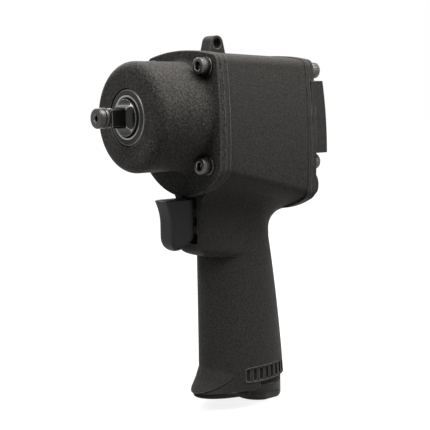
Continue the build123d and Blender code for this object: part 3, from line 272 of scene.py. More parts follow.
floor_mesh = bpy.data.meshes.new("floor")
floor_level = cad_box[0][2]
floor_sides = [(-1, -1), (1, -1), (1, 1), (-1, 1)]
floor_corners = [(x * floor_reach, y * floor_reach, floor_level) for x, y in floor_sides]
floor_mesh.from_pydata(floor_corners, [], [(0, 1, 2, 3)])
floor = bpy.data.objects.new("floor", floor_mesh)
bpy.context.scene.collection.objects.link(floor)

floor_paint = bpy.data.materials.new("floor_paint")
floor_paint.use_nodes = True
floor_tree = floor_paint.node_tree
floor_tree.nodes.clear()
floor_place = add_node(floor_tree, "ShaderNodeTexCoord").outputs["Object"]
from_tool = vector_length(floor_tree, floor_place)
floor_white = mapped(floor_tree, from_tool, *floor_fade, floor_near, floor_far)
floor_strength = scaled(floor_tree, seen_directly(floor_tree), floor_white)
floor_diffuse = add_node(floor_tree, "ShaderNodeBsdfDiffuse", {"Color": floor_shade}).outputs[0]
floor_glow = add_node(floor_tree, "ShaderNodeEmission", {"Strength": floor_strength}).outputs[0]
floor_both = add_node(floor_tree, "ShaderNodeAddShader", {0: floor_diffuse, 1: floor_glow})
add_node(floor_tree, "ShaderNodeOutputMaterial", {"Surface": floor_both.outputs[0]})
floor_mesh.materials.append(floor_paint)
print("floor at", round(floor_level / mm, 1), "mm")

# %% [markdown]
# ## Effects that several finishes share
# A textured coat, worn edges with painted shade in inner corners, turning marks and handling all
# show on more than one piece.
# Each is a node group: built once, then placed in a material with that material's own sizes.
# They read the object's own coordinates in metres, so a grain of half a millimetre is the
# same on every casting, whatever its size.

# %% [markdown]
# ### Cast grain
# A coated sand casting is a field of small rounded pebbles. They could be real bumps in the
# mesh, but that would take millions of faces, so the grain is a height for the shader.
# Voronoi cells give the pebbles, noise breaks them up, and two more noises give single
# bright flecks and broad clouds.

# %% Cast grain
pebble_melt, pebble_crown, pebble_share = 0.6, 0.8, 0.6
crumb_detail, crumb_rough = 3.0, 0.65
grain_range = (0.45, 1.05)
fleck_finer, fleck_detail, fleck_range = 1.4, 1.0, (0.60, 0.74)
clouds_per_metre, cloud_detail, cloud_rough, cloud_range = 70.0, 4.0, 0.6, (0.3, 0.7)

grain_tree, given, gives = new_group(
    "cast_grain",
    {"Vector": "Vector", "Grain": "Float"},
    {"Height": "Float", "Fleck": "Float", "Cloud": "Float"},
)
per_metre = calculate(grain_tree, "DIVIDE", 1.0, given["Grain"])
pebble_sockets = {"Vector": given["Vector"], "Scale": per_metre, "Smoothness": pebble_melt}
pebbles = add_node(grain_tree, "ShaderNodeTexVoronoi", pebble_sockets, feature="SMOOTH_F1")
crumbs = noise(grain_tree, given["Vector"], per_metre, crumb_detail, crumb_rough)
crowns = calculate(grain_tree, "SUBTRACT", pebble_crown, pebbles.outputs["Distance"])
rough_crowns = calculate(grain_tree, "ADD", scaled(grain_tree, crowns, pebble_share), crumbs)
fleck_scale = scaled(grain_tree, per_metre, fleck_finer)
flecks = noise(grain_tree, given["Vector"], fleck_scale, fleck_detail)
clouds = noise(grain_tree, given["Vector"], clouds_per_metre, cloud_detail, cloud_rough)
grain_tree.links.new(mapped(grain_tree, rough_crowns, *grain_range), gives["Height"])
grain_tree.links.new(mapped(grain_tree, flecks, *fleck_range), gives["Fleck"])
grain_tree.links.new(mapped(grain_tree, clouds, *cloud_range), gives["Cloud"])
print("cast_grain:", len(grain_tree.nodes), "nodes")

# %% [markdown]
# ### Edge wear and painted corner shade
# A coat goes first where an edge is touched, and inner corners are painted darker as shade.
# Wear can be painted by hand, but the shader can find edges itself: the Bevel node's normal is
# that of a rounded edge, and it differs from the true normal only near one. Ambient occlusion
# tells outer edges from inner corners and gives the painted shade, and noise breaks the wear
# into patches.

# %% Edge wear and painted corner shade
wear_samples = 6
unworn_facing, worn_facing = 0.997, 0.92
# How far ambient occlusion reaches for inner corners: it gives their painted shade and keeps the
# wear off them.
corner_shade_spread, open_range = 4.0, (0.55, 0.95)
patch_detail, patch_rough, patch_range = 5.0, 0.65, (0.28, 0.52)

wear_tree, given, gives = new_group(
    "edge_wear_and_corner_shade",
    {"Vector": "Vector", "Radius": "Float", "Patch": "Float"},
    {"Mask": "Float", "CornerShade": "Float", "Normal": "Vector"},
)
bevel_sockets = {"Radius": given["Radius"]}
soft_edge = add_node(wear_tree, "ShaderNodeBevel", bevel_sockets, samples=wear_samples).outputs[0]
true_edge = add_node(wear_tree, "ShaderNodeNewGeometry").outputs["Normal"]
both_edges = {0: soft_edge, 1: true_edge}
facing = add_node(wear_tree, "ShaderNodeVectorMath", both_edges, operation="DOT_PRODUCT")
turn = mapped(wear_tree, facing.outputs["Value"], unworn_facing, worn_facing)
corner_sockets = {"Distance": scaled(wear_tree, given["Radius"], corner_shade_spread)}
corner = add_node(wear_tree, "ShaderNodeAmbientOcclusion", corner_sockets)
corner.samples, corner.only_local = wear_samples, True
open_side = mapped(wear_tree, corner.outputs["AO"], *open_range)
patch_scale = calculate(wear_tree, "DIVIDE", 1.0, given["Patch"])
patches = noise(wear_tree, given["Vector"], patch_scale, patch_detail, patch_rough)
broken = mapped(wear_tree, patches, *patch_range)
worn = scaled(wear_tree, scaled(wear_tree, turn, open_side), broken)
wear_tree.links.new(worn, gives["Mask"])
# Painted shade: a mask that is high in inner corners, where occlusion is high.
wear_tree.links.new(calculate(wear_tree, "SUBTRACT", 1.0, open_side), gives["CornerShade"])
wear_tree.links.new(soft_edge, gives["Normal"])
print("edge_wear_and_corner_shade:", len(wear_tree.nodes), "nodes")

# %% [markdown]
# ### Turning marks
# A lathe leaves fine rings about a piece's axis. Noise that is read at only two numbers, the
# distance from the axis and the place along it, is the same all the way round, and so makes
# rings. The two numbers are also given out, for bands at a known radius.

# %% Turning marks
mark_detail, mark_rough = 3.0, 0.7
broad_share, tone_range = 0.12, (0.3, 0.7)

turn_tree, given, gives = new_group(
    "turning_marks",
    {"Vector": "Vector", "Pitch": "Float"},
    {"Height": "Float", "Tone": "Float", "Radius": "Float", "Along": "Float"},
)
parts = add_node(turn_tree, "ShaderNodeSeparateXYZ", {0: given["Vector"]}).outputs
across_sockets = {"X": parts["X"], "Y": parts["Z"]}
across = add_node(turn_tree, "ShaderNodeCombineXYZ", across_sockets).outputs[0]
off_axis = vector_length(turn_tree, across)
lathe_sockets = {"X": off_axis, "Y": parts["Y"]}
on_lathe = add_node(turn_tree, "ShaderNodeCombineXYZ", lathe_sockets).outputs[0]
mark_scale = calculate(turn_tree, "DIVIDE", 1.0, given["Pitch"])
broad_marks = noise(turn_tree, on_lathe, scaled(turn_tree, mark_scale, broad_share))
fine_marks = noise(turn_tree, on_lathe, mark_scale, mark_detail, mark_rough)
turn_tree.links.new(fine_marks, gives["Height"])
turn_tree.links.new(mapped(turn_tree, broad_marks, *tone_range), gives["Tone"])
turn_tree.links.new(off_axis, gives["Radius"])
turn_tree.links.new(parts["Y"], gives["Along"])
print("turning_marks:", len(turn_tree.nodes), "nodes")

# %% [markdown]
# ### Handling
# Hands leave a thin film, which dulls or polishes a surface in patches as large as a
# fingertip. One soft noise is enough for it, and each finish says how large its patches are.

# %% Handling
smear_detail, smear_range = 4.0, (0.32, 0.68)

hand_tree, given, gives = new_group(
    "handling", {"Vector": "Vector", "Size": "Float"}, {"Smear": "Float"}
)
smear_scale = calculate(hand_tree, "DIVIDE", 1.0, given["Size"])
smears = noise(hand_tree, given["Vector"], smear_scale, smear_detail)
hand_tree.links.new(mapped(hand_tree, smears, *smear_range), gives["Smear"])
print("handling:", len(hand_tree.nodes), "nodes")

# %% [markdown]
# ## Finishes
# Each finish is a Principled shader whose colour, roughness and bump come from the groups.
# Numbers that are the same all over, such as how metallic a turned steel is, sit on the
# shader's own sockets.

# %% Material helpers
materials = {}


def start_material(name, **sockets):
    """A new Principled material. Gives its tree, its shader and its object coordinates."""
    made = bpy.data.materials.new(name)
    made.use_nodes = True
    tree = made.node_tree
    tree.nodes.clear()
    shader = add_node(tree, "ShaderNodeBsdfPrincipled", sockets)
    add_node(tree, "ShaderNodeOutputMaterial", {"Surface": shader.outputs[0]})
    materials[name] = made
    return tree, shader, add_node(tree, "ShaderNodeTexCoord").outputs["Object"]


def place_group(tree, name, **sockets):
    """A node group placed in a material. Gives its outputs."""
    made = add_node(tree, "ShaderNodeGroup", node_tree=bpy.data.node_groups[name])
    for socket, value in sockets.items():
        fill_socket(tree, made.inputs[socket], value)
    return made.outputs


def finish_surface(tree, shader, colour, roughness, height, depth, strength, normal):
    """The shader's colour and roughness, and a bump from a height that is depth metres deep."""
    sockets = {"Height": height, "Distance": depth, "Strength": strength, "Normal": normal}
    fill_socket(tree, shader.inputs["Base Color"], colour)
    fill_socket(tree, shader.inputs["Roughness"], roughness)
    fill_socket(tree, shader.inputs["Normal"], add_node(tree, "ShaderNodeBump", sockets).outputs[0])


slight_warmth, some_warmth, more_warmth = 0.02, 0.03, 0.04


def grey(level, warmth=0.0):
    """A grey, a little red for a warmth above 0."""
    return (level * (1 + warmth), level, level * (1 - warmth), 1)


print("material helpers ready")

# %% [markdown]
# ### Textured coat
# The castings carry a dark, baked coat over a sand-cast surface. Up close it is pebbled, with
# lighter crowns, darker pits and a few bright flecks, coarser on the round hammer case. It
# reflects little, so the shader's specular level is low and its roughness is high. A picture
# of such a coat could be wrapped round each casting, but nodes need no unwrapping, and they
# stay sharp up close.

# %% Textured coat
coat_ior, coat_gleam, coat_bump = 1.45, 0.04, 0.6
coat_dull, coat_polished = 0.66, 0.52
coat_edge, coat_patch, coat_smear = 0.6 * mm, 6 * mm, 30 * mm
coat_metal = grey(0.22, slight_warmth)
coat_edge_share, coat_cloud_share, coat_shade_share = 0.8, 0.3, 0.4
coat_cloud_tone, coat_fleck_tone, coat_shade_tone = 0.7, 2.6, 0.4


def textured_coat(name, shade, grain, depth, mottle, fleck):
    """A dark coat on a casting: pebbled, flecked, greyer on its edges, with painted shade in its
    corners.
    """
    sockets = {"IOR": coat_ior, "Specular IOR Level": coat_gleam}
    tree, shader, place = start_material(name, **sockets)
    texture = place_group(tree, "cast_grain", Vector=place, Grain=grain)
    wear = place_group(tree, "edge_wear_and_corner_shade", Vector=place, Radius=coat_edge, Patch=coat_patch)
    hand = place_group(tree, "handling", Vector=place, Size=coat_smear)
    pit = grey(shade * (1 - mottle), slight_warmth)
    crown = grey(shade * (1 + mottle), some_warmth)
    base = blended(tree, texture["Height"], pit, crown)
    cloud = scaled(tree, texture["Cloud"], coat_cloud_share)
    clouded = blended(tree, cloud, base, grey(shade * coat_cloud_tone, some_warmth))
    bright = scaled(tree, texture["Fleck"], fleck)
    flecked = blended(tree, bright, clouded, grey(shade * coat_fleck_tone, more_warmth))
    # Painted shade: inner corners go toward a darker grey.
    corner_shade = scaled(tree, wear["CornerShade"], coat_shade_share)
    corner_shaded = blended(tree, corner_shade, flecked, grey(shade * coat_shade_tone, slight_warmth))
    edged = blended(tree, scaled(tree, wear["Mask"], coat_edge_share), corner_shaded, coat_metal)
    gloss = mapped(tree, hand["Smear"], 0, 1, coat_dull, coat_polished)
    height, normal = texture["Height"], wear["Normal"]
    finish_surface(tree, shader, edged, gloss, height, depth, coat_bump, normal)


fine_coat = {"grain": 0.9 * mm, "depth": 0.14 * mm, "mottle": 0.30, "fleck": 0.3}
coarse_coat = {"grain": 1.1 * mm, "depth": 0.30 * mm, "mottle": 0.55, "fleck": 0.7}
smooth_coat = {"grain": 0.5 * mm, "depth": 0.08 * mm, "mottle": 0.3, "fleck": 0.2}
textured_coat("housing_coat", shade=0.044, **fine_coat)
textured_coat("case_coat", shade=0.045, **coarse_coat)
textured_coat("cover_coat", shade=0.044, **fine_coat)
textured_coat("deflector_plastic", shade=0.034, **smooth_coat)
print("coats:", list(materials))

# %% [markdown]
# ### Turned and ground metals
# Shafts, races and valves come off a lathe or a grinder, which leaves fine rings about their
# axis. The rings could be cut into the mesh, but they are far finer than its faces, so the
# turning marks give them as tone and bump. Oil darkens the metal in patches, and edges rub
# bright.

# %% Turned metals
steel_tint = (1.0, 0.985, 0.96)
brass_tint = (1.0, 0.70, 0.30)
turned_edge, turned_patch, turned_smear = 0.2 * mm, 3 * mm, 12 * mm
turned_dark, turned_light = 0.8, 1.15
turned_oil_tone, turned_oil_dull = 0.35, 0.12
turned_shade_share, turned_shade_tone = 0.6, 0.12
mark_depth, mark_bump = 0.02 * mm, 0.5


def turned_metal(name, shade, pitch, rough, oil, bare, tint=steel_tint):
    """Machined metal: fine rings about its axis, oil film in patches, and brighter edges."""

    def tinted(level):
        return tuple(level * part for part in tint) + (1,)

    tree, shader, place = start_material(name, Metallic=1.0)
    marks = place_group(tree, "turning_marks", Vector=place, Pitch=pitch)
    wear = place_group(tree, "edge_wear_and_corner_shade", Vector=place, Radius=turned_edge, Patch=turned_patch)
    hand = place_group(tree, "handling", Vector=place, Size=turned_smear)
    dark, light = tinted(shade * turned_dark), tinted(shade * turned_light)
    base = blended(tree, marks["Tone"], dark, light)
    oiled = blended(tree, scaled(tree, hand["Smear"], oil), base, tinted(shade * turned_oil_tone))
    # Painted shade: inner corners are darkened.
    corner_shade = scaled(tree, wear["CornerShade"], turned_shade_share)
    corner_shaded = blended(tree, corner_shade, oiled, tinted(shade * turned_shade_tone))
    edged = blended(tree, wear["Mask"], corner_shaded, tinted(bare))
    gloss = mapped(tree, hand["Smear"], 0, 1, rough, rough + turned_oil_dull)
    height, normal = marks["Height"], wear["Normal"]
    finish_surface(tree, shader, edged, gloss, height, mark_depth, mark_bump, normal)


turned_metal("impact_steel", shade=0.35, pitch=0.40 * mm, rough=0.34, oil=0.35, bare=0.60)
turned_metal("motor_steel", shade=0.45, pitch=0.35 * mm, rough=0.30, oil=0.35, bare=0.75)
turned_metal("bearing_steel", shade=0.62, pitch=0.15 * mm, rough=0.14, oil=0.15, bare=0.80)
turned_metal("spring_steel", shade=0.40, pitch=0.20 * mm, rough=0.28, oil=0.35, bare=0.70)
# Valve steel: a dark oiled steel, its colour lowered further as painted shade so that the steel in
# the trigger's gap stays dark.
turned_metal("valve_steel", shade=0.20, pitch=0.25 * mm, rough=0.34, oil=0.50, bare=0.40)
brass = {"shade": 0.55, "pitch": 0.30 * mm, "rough": 0.26, "oil": 0.50, "bare": 0.80}
turned_metal("valve_brass", **brass, tint=brass_tint)
print("metals:", len(materials))

# %% [markdown]
# ### Blackened steel
# The anvil, its bush, the inlet and the screws are blackened against rust. On the anvil and
# the screws the skin is thin and still shines, so the shader is nearly all metal, in a dark
# colour. On the bush and the inlet it is matt, and hardly metallic. Where edges and seats
# rub, the skin is gone, and a mask turns the surface into bare metal. The flats of the square
# are milled after turning, and are darker: they are found as the places that lie inside the
# turned cone.

# %% Masks for blackened steel
band_slope = 0.1 * mm
milled_share, milled_depth = 0.75, (0.08 * mm, 0.2 * mm)
square_end, cone_share = -0.9 * mm, 0.6


def between(tree, value, low, high, share):
    """The share where a value lies between two limits, and 0 outside, with a slope at each."""
    above = mapped(tree, value, low - band_slope, low, 0, share)
    return scaled(tree, above, mapped(tree, value, high, high + band_slope, 1, 0))


def rubbed_bands(tree, marks, bands):
    """The largest share of several bands. A band has an inner radius, an outer one and a share."""
    rubbed = 0.0
    for inner, outer, share in bands:
        band = between(tree, marks["Radius"], inner, outer, share)
        rubbed = calculate(tree, "MAXIMUM", rubbed, band)
    return rubbed


def milled_flats(tree, marks, front, small, large):
    """A share behind the front, inside a cone that grows along the axis from small to large."""
    cone = calculate(tree, "ADD", calculate(tree, "MAXIMUM", marks["Along"], 0.0), small)
    inside = calculate(tree, "SUBTRACT", calculate(tree, "MINIMUM", cone, large), marks["Radius"])
    behind = mapped(tree, marks["Along"], front - band_slope, front, 0, milled_share)
    return scaled(tree, behind, mapped(tree, inside, *milled_depth))


print("masks for blackened steel ready")

# %% Blackened steel
black_gleam, black_pitch, black_edge = 0.06, 0.35 * mm, 0.25 * mm
black_dark, black_light = 0.75, 1.25
black_milled_tone, black_shade_share, black_shade_tone = 0.12, 0.8, 0.15
bare_rough = 0.3


def blackened_steel(
    name, shade, patch, bare, metal, rough, centre=(0, 0, 0), tip=0.0, bands=(), flats=None
):
    """Blackened steel with faint rings: bare on edges and in bands, darker where it is milled."""
    tree, shader, place = start_material(name, **{"Specular IOR Level": black_gleam})
    sockets = {"Vector": place, "Location": centre, "Rotation": (tip, 0, 0)}
    on_axis = add_node(tree, "ShaderNodeMapping", sockets, vector_type="TEXTURE").outputs[0]
    marks = place_group(tree, "turning_marks", Vector=on_axis, Pitch=black_pitch)
    wear = place_group(tree, "edge_wear_and_corner_shade", Vector=place, Radius=black_edge, Patch=patch)
    dark, light = [grey(shade * tone, slight_warmth) for tone in (black_dark, black_light)]
    base = blended(tree, marks["Tone"], dark, light)
    rubbed = rubbed_bands(tree, marks, bands)
    if flats:
        milled = milled_flats(tree, marks, *flats)
        fade = mapped(tree, marks["Along"], square_end, 0, 1, cone_share)
        base = blended(tree, scaled(tree, milled, fade), base, grey(shade * black_milled_tone))
        rubbed = scaled(tree, rubbed, mapped(tree, milled, 0, milled_share, 1, 0))
    worn = calculate(tree, "MAXIMUM", wear["Mask"], rubbed)
    # Painted shade: inner corners, sockets among them, are darkened.
    corner_shade = scaled(tree, wear["CornerShade"], black_shade_share)
    corner_shaded = blended(tree, corner_shade, base, grey(shade * black_shade_tone, slight_warmth))
    coloured = blended(tree, worn, corner_shaded, grey(bare, slight_warmth))
    fill_socket(tree, shader.inputs["Metallic"], mapped(tree, worn, 0, 1, metal, 1))
    gloss = mapped(tree, worn, 0, 1, rough, bare_rough)
    height, normal = marks["Height"], wear["Normal"]
    finish_surface(tree, shader, coloured, gloss, height, mark_depth, mark_bump, normal)


print("blackened steel ready")

# %% Blackened pieces
inlet_low, inlet_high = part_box("inlet_bush")
inlet_centre = tuple((inlet_low + inlet_high) / 2)
inlet_axis = {"centre": inlet_centre, "tip": radians(90)}
bush_bands = ((10.15 * mm, 10.85 * mm, 0.8), (13.4 * mm, 15 * mm, 0.5))
anvil_bands = ((6.5 * mm, 8.8 * mm, 0.35),)
anvil_flats = (-8.6 * mm, 6.6 * mm, 9.2 * mm)
anvil_look = {"shade": 0.055, "patch": 3 * mm, "bare": 0.50, "metal": 0.9, "rough": 0.34}
bush_look = {"shade": 0.05, "patch": 3 * mm, "bare": 0.32, "metal": 0.15, "rough": 0.45}
inlet_look = {"shade": 0.065, "patch": 4 * mm, "bare": 0.20, "metal": 0.2, "rough": 0.48}
screw_look = {"shade": 0.075, "patch": 1.8 * mm, "bare": 0.50, "metal": 0.9, "rough": 0.34}
blackened_steel("anvil_steel", **anvil_look, bands=anvil_bands, flats=anvil_flats)
blackened_steel("bush_steel", **bush_look, bands=bush_bands)
blackened_steel("inlet_steel", **inlet_look, **inlet_axis)
blackened_steel("dark_steel", **screw_look)
print("with the blackened steels:", len(materials))

# %% [markdown]
# ### Plastics, rubber, gasket and felt
# The trigger and the lever are moulded, the vanes are sawn from a laminate, and the seals and
# the silencer are pressed or cut. All of these are dull, with a fine grain, and handling
# polishes them. Each could have a graph of its own, but one rule with other colours and grains
# is enough.

# %% Plastics, rubber, gasket and felt
moulded_ior, moulded_gleam, moulded_bump = 1.46, 0.12, 0.4
moulded_edge, moulded_patch, moulded_smear = 0.3 * mm, 4 * mm, 20 * mm
moulded_rub_share, moulded_rub_tone, moulded_polish = 0.35, 2.5, 0.14


def moulded(name, dull, bright, rough, grain, depth):
    """A moulded or pressed piece: fine grain, soft edges, and a sheen that varies with handling."""
    sockets = {"IOR": moulded_ior, "Specular IOR Level": moulded_gleam}
    tree, shader, place = start_material(name, **sockets)
    texture = place_group(tree, "cast_grain", Vector=place, Grain=grain)
    wear = place_group(tree, "edge_wear_and_corner_shade", Vector=place, Radius=moulded_edge, Patch=moulded_patch)
    hand = place_group(tree, "handling", Vector=place, Size=moulded_smear)
    base = blended(tree, texture["Cloud"], dull, bright)
    rubbed = tuple(min(moulded_rub_tone * part, 1) for part in bright)
    polished = blended(tree, scaled(tree, wear["Mask"], moulded_rub_share), base, rubbed)
    gloss = mapped(tree, hand["Smear"], 0, 1, rough, rough - moulded_polish)
    height, normal = texture["Height"], wear["Normal"]
    finish_surface(tree, shader, polished, gloss, height, depth, moulded_bump, normal)


gasket_dull, gasket_bright = grey(0.010, some_warmth), grey(0.018, more_warmth)
vane_dull, vane_bright = (0.16, 0.09, 0.045, 1), (0.26, 0.16, 0.08, 1)
felt_dull, felt_bright = (0.20, 0.19, 0.16, 1), (0.34, 0.32, 0.27, 1)
satin = {"bright": grey(0.030), "grain": 0.30 * mm}
moulded("trigger_plastic", dull=grey(0.024), rough=0.50, depth=0.02 * mm, **satin)
moulded("lever_plastic", dull=grey(0.022), rough=0.52, depth=0.03 * mm, **satin)
moulded("vane_plastic", vane_dull, vane_bright, rough=0.55, grain=0.50 * mm, depth=0.05 * mm)
moulded("rubber", grey(0.012), grey(0.018), rough=0.62, grain=0.35 * mm, depth=0.04 * mm)
moulded("gasket", gasket_dull, gasket_bright, rough=0.80, grain=0.25 * mm, depth=0.06 * mm)
moulded("felt", felt_dull, felt_bright, rough=0.95, grain=0.60 * mm, depth=0.30 * mm)
print("all finishes:", sorted(materials))

# %% [markdown]
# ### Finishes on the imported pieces
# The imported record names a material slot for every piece, and each finish above has the name
# of a slot. Choosing a finish by hand for each piece could miss one, so a loop reads the
# record. Pieces that are replaced further down get their finish too, and stay hidden.

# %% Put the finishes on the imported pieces
for subpart in frame["record"]["subparts"]:
    node = frame["nodes"][subpart["node"]]
    node.data.materials.clear()
    node.data.materials.append(materials[subpart["material_slot"]])

# %% [markdown]
# ## Pieces as surfaces
# A finer piece is a grid of points: one parameter goes round it, and the other goes along it.
# NumPy works out the whole grid at once, and one helper joins its neighbours with faces,
# closes its seam and its ends, and turns the faces outward.

# %% Mesh helpers
weld_gap = 0.001 * mm


def weld(mesh, outward):
    """Joins the points of a mesh that share a place, and where asked turns its faces outward."""
    work = bmesh.new()
    work.from_mesh(mesh)
    bmesh.ops.remove_doubles(work, verts=work.verts, dist=weld_gap)
    if outward:
        bmesh.ops.recalc_face_normals(work, faces=work.faces)
    work.to_mesh(mesh)
    work.free()


def smooth(mesh, crease):
    """Shades a mesh as smooth, apart from edges that turn by more than the crease, in degrees."""
    mesh.shade_smooth()
    mesh.set_sharp_from_angle(angle=radians(crease))


def add_piece(name, mesh, body, replaced=None):
    """A piece that rides on a body, and may stand for a node, which it then hides."""
    piece = bpy.data.objects.new(name, mesh)
    bpy.context.scene.collection.objects.link(piece)
    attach(piece, body)
    if replaced:
        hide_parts(replaced)
    print(name, "has", len(mesh.polygons), "faces")
    return piece


def box_mm(node):
    """A node's lowest and highest corners at rest, in mm."""
    return [np.array(corner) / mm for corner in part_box(node)]


print("mesh helpers ready")

# %% Surface helpers
ring_points = 192
angles = np.linspace(0, 2 * np.pi, ring_points, endpoint=False)


def add_surface(name, points, body, slot, replaced=None, crease=35):
    """A piece from a grid of points in mm, shaped (copies, rows, columns, 3).

    Each point joins the next in its row and in its column, and the columns close in a ring.
    """
    index = np.arange(points[..., 0].size).reshape(points.shape[:3])
    after = np.roll(index, -1, axis=2)
    quads = np.stack([index[:, :-1], after[:, :-1], after[:, 1:], index[:, 1:]], axis=-1)
    mesh = bpy.data.meshes.new(name)
    mesh.from_pydata((points * mm).reshape(-1, 3).tolist(), [], quads.reshape(-1, 4).tolist())
    weld(mesh, outward=True)
    smooth(mesh, crease)
    mesh.materials.append(materials[slot])
    return add_piece(name, mesh, body, replaced)


def stacked(*rows):
    """Rows of (radius, height) as two arrays. A radius is a number, or one for each angle."""
    radii = np.stack([np.broadcast_to(radius, angles.shape) for radius, _ in rows])
    return radii, np.array([height for _, height in rows])


def about_y(radii, heights):
    """Points round the Y axis: radius times the angle's cosine and sine, and height along."""
    along = np.broadcast_to(heights[:, None], radii.shape)
    return np.stack([radii * np.cos(angles), along, radii * np.sin(angles)], axis=-1)


print("each ring has", ring_points, "points")

# %% [markdown]
# ### Socket head screws
# Each screw is upset from wire, with a knurled head for fingers and a hexagon socket broached
# into it. A socket could be cut out with a boolean, but one surface does it all: going from
# the middle of the socket over the head to the shank's end, the radius follows a hexagon, then
# a circle, then a circle with small ridges.

# %% Shape of a socket head screw
knurl_ridges = 32
drill_point, floor_round, floor_share = 0.3, 0.15, 0.96
mouth_depth, mouth_share = 0.3, 0.6
edge_share, edge_most = 0.14, 0.5
head_round = ((1.6, 0.0), (0.7, 0.2), (0.2, 0.7))
foot_round = ((0.4, 0.5), (1.0, 0.0))
knurl_top = 1.4
shank_chamfer = 0.6


def hexagon(across_flats):
    """A hexagon's radius: half its width over the cosine of the angle from the nearest flat."""
    from_flat = (angles + np.pi / 6) % (np.pi / 3) - np.pi / 6
    return across_flats / 2 / np.cos(from_flat)


def socket_screw(length, head, height, shank, across_flats, depth, knurl=0):
    """A screw's radii and heights, from its socket's floor over the head to its end.

    Height 0 is under the head. The knurl is a cosine about the head, as deep as it says.
    """
    socket = hexagon(across_flats)
    mouth = across_flats * mouth_share
    side = head - knurl * (0.5 + 0.5 * np.cos(knurl_ridges * angles))
    edge = min(edge_share * height, edge_most)
    return stacked(
        (0, height - depth - drill_point),
        (socket * floor_share, height - depth),
        (socket, height - depth + floor_round),
        (socket, height - mouth_depth),
        (np.maximum(socket, mouth), height),
        *[(head - inward * edge, height - down * edge) for inward, down in head_round],
        (side, height - knurl_top * edge),
        (side, edge),
        *[(head - inward * edge, up * edge) for inward, up in foot_round],
        (shank, 0),
        (shank, shank_chamfer - length),
        (shank - shank_chamfer, -length),
        (0, -length),
    )


print("each knurl has", knurl_ridges, "ridges")

# %% Socket head screws
cap_screw = {"head": 4.25, "height": 5.0, "shank": 2.5, "across_flats": 4.0, "depth": 2.6}
cap_knurl = 0.16


def four_places(node, radius):
    """The (x, z) centres of four round pieces at the corners of a node's box, in mm."""
    low, high = box_mm(node)
    across, up = [(low[axis] + radius, high[axis] - radius) for axis in (0, 2)]
    return np.array([(x, z) for x in across for z in up])


def at_places(points, places, seat, facing):
    """Points about Y, copied to each (x, z), with their base at y = seat. They face -1 or 1."""
    offsets = np.insert(places, 1, seat, axis=1)[:, None, None, :]
    return offsets + points * np.array((1, facing, 1))


for node, facing in (("case_screws", -1), ("rear_screws", 1)):
    low, high = box_mm(node)
    top, end = (low[1], high[1]) if facing < 0 else (high[1], low[1])
    seat = top - facing * cap_screw["height"]
    rows = socket_screw(abs(end - seat), **cap_screw, knurl=cap_knurl)
    heads = at_places(about_y(*rows), four_places(node, cap_screw["head"]), seat, facing)
    add_surface(f"knurled_{node}", heads, "housing", "dark_steel", node)

# %% [markdown]
# ### Split lock washers
# A spring washer is a coil of square wire, cut on a slant so that its ends dig in. A flat
# ring with a cut could stand for it, but the climb shows in the gap. So a rounded square
# section is carried round the hole, from one side of the cut to the other, while it climbs a
# little along the screw.

# %% Split lock washers
washer_inner, washer_outer = 2.52, 4.6
washer_start, washer_cut, washer_slant, washer_climb = np.pi / 2, 0.18, 0.06, 0.12
ring_power = 6


def rounded_square(power, count=20):
    """A square of half width 1 with round corners: cosine and sine to the power 2 / power."""
    around = np.linspace(0, 2 * np.pi, count, endpoint=False)
    sides = np.cos(around), np.sin(around)
    return [np.sign(side) * np.abs(side) ** (2 / power) for side in sides]


def open_ring(inner, outer, width, start, cut, slant=0, climb=0, steps=96):
    """A split ring about Y: a rounded square carried round from one side of a cut to the other.

    The angle shifts with the place across the width, which slants the cut, and the ring climbs
    as it turns. The first and last rows shrink to the section's middle, which closes the ends.
    """
    across, along = rounded_square(ring_power)
    share = np.linspace(0, 1, steps)[:, None]
    shrink = np.where((share > 0) & (share < 1), 1.0, 0.0)
    share = np.clip((share * (steps - 1) - 1) / (steps - 3), 0, 1)
    turn = start + cut / 2 + (2 * np.pi - cut) * share + slant * along * shrink
    radius = (inner + outer) / 2 + (outer - inner) / 2 * across * shrink
    height = (width - climb) / 2 * along * shrink + climb * (share - 0.5)
    return np.stack([radius * np.cos(turn), height, radius * np.sin(turn)], axis=-1)


washer_split = {"start": washer_start, "cut": washer_cut, "slant": washer_slant}
for node in ("case_lock_washers", "rear_lock_washers"):
    low, high = box_mm(node)
    thickness, middle = high[1] - low[1], (low[1] + high[1]) / 2
    washer = open_ring(washer_inner, washer_outer, thickness, **washer_split, climb=washer_climb)
    washers = at_places(washer, four_places(node, washer_outer), middle, 1)
    add_surface(f"split_{node}", washers, "housing", "dark_steel", node)

# %% [markdown]
# ### Drive end
# The anvil is forged and ground: a round nose with a groove for the retaining ring, a 3/8 in
# square whose corners are turned to a circle, and a coned shoulder, into which the milled
# flats run out. Behind the bush are a collar and the jaw that the hammer strikes. It could be
# several solids joined, but at each station along the axis the outline is a radius for every
# angle, so one grid can pass from round to square and back.

# %% Sizes of the anvil
anvil_tip, nose, nose_edge = -14.6, 5.0, 0.9
hole, hole_mouth, hole_chamfer, hole_depth, hole_point = 1.4, 1.9, 0.5, 2.8, 3.6
groove_front, groove_floor, groove_edge = -11.4, 3.8, 0.25
square_front, square_half, square_circle, square_lead = -8.8, 4.7625, 6.2, 0.7
cone_small, cone_large, cone_length = 6.6, 9.2, 2.6
cone_front, cone_edge, cone_edge_length = -0.05, 0.1, 0.4
run_out_start, run_out, run_out_beyond = -0.9, 3.3, 0.6
collar_front, collar_rear, collar = 23.4, 26.4, 12.8
jaw_front, jaw_rear, jaw, jaw_core, jaw_half, jaw_rim = 30.3, 42.8, 10.6, 7.6, 4.5, 0.3
pilot, pilot_end = 4.4, 44.4
nose_rows, foot_rows, run_out_rows = 6, 6, 30
print("anvil is", round(pilot_end - anvil_tip, 1), "mm long")

# %% Outlines of the anvil
almost_zero = 1e-6
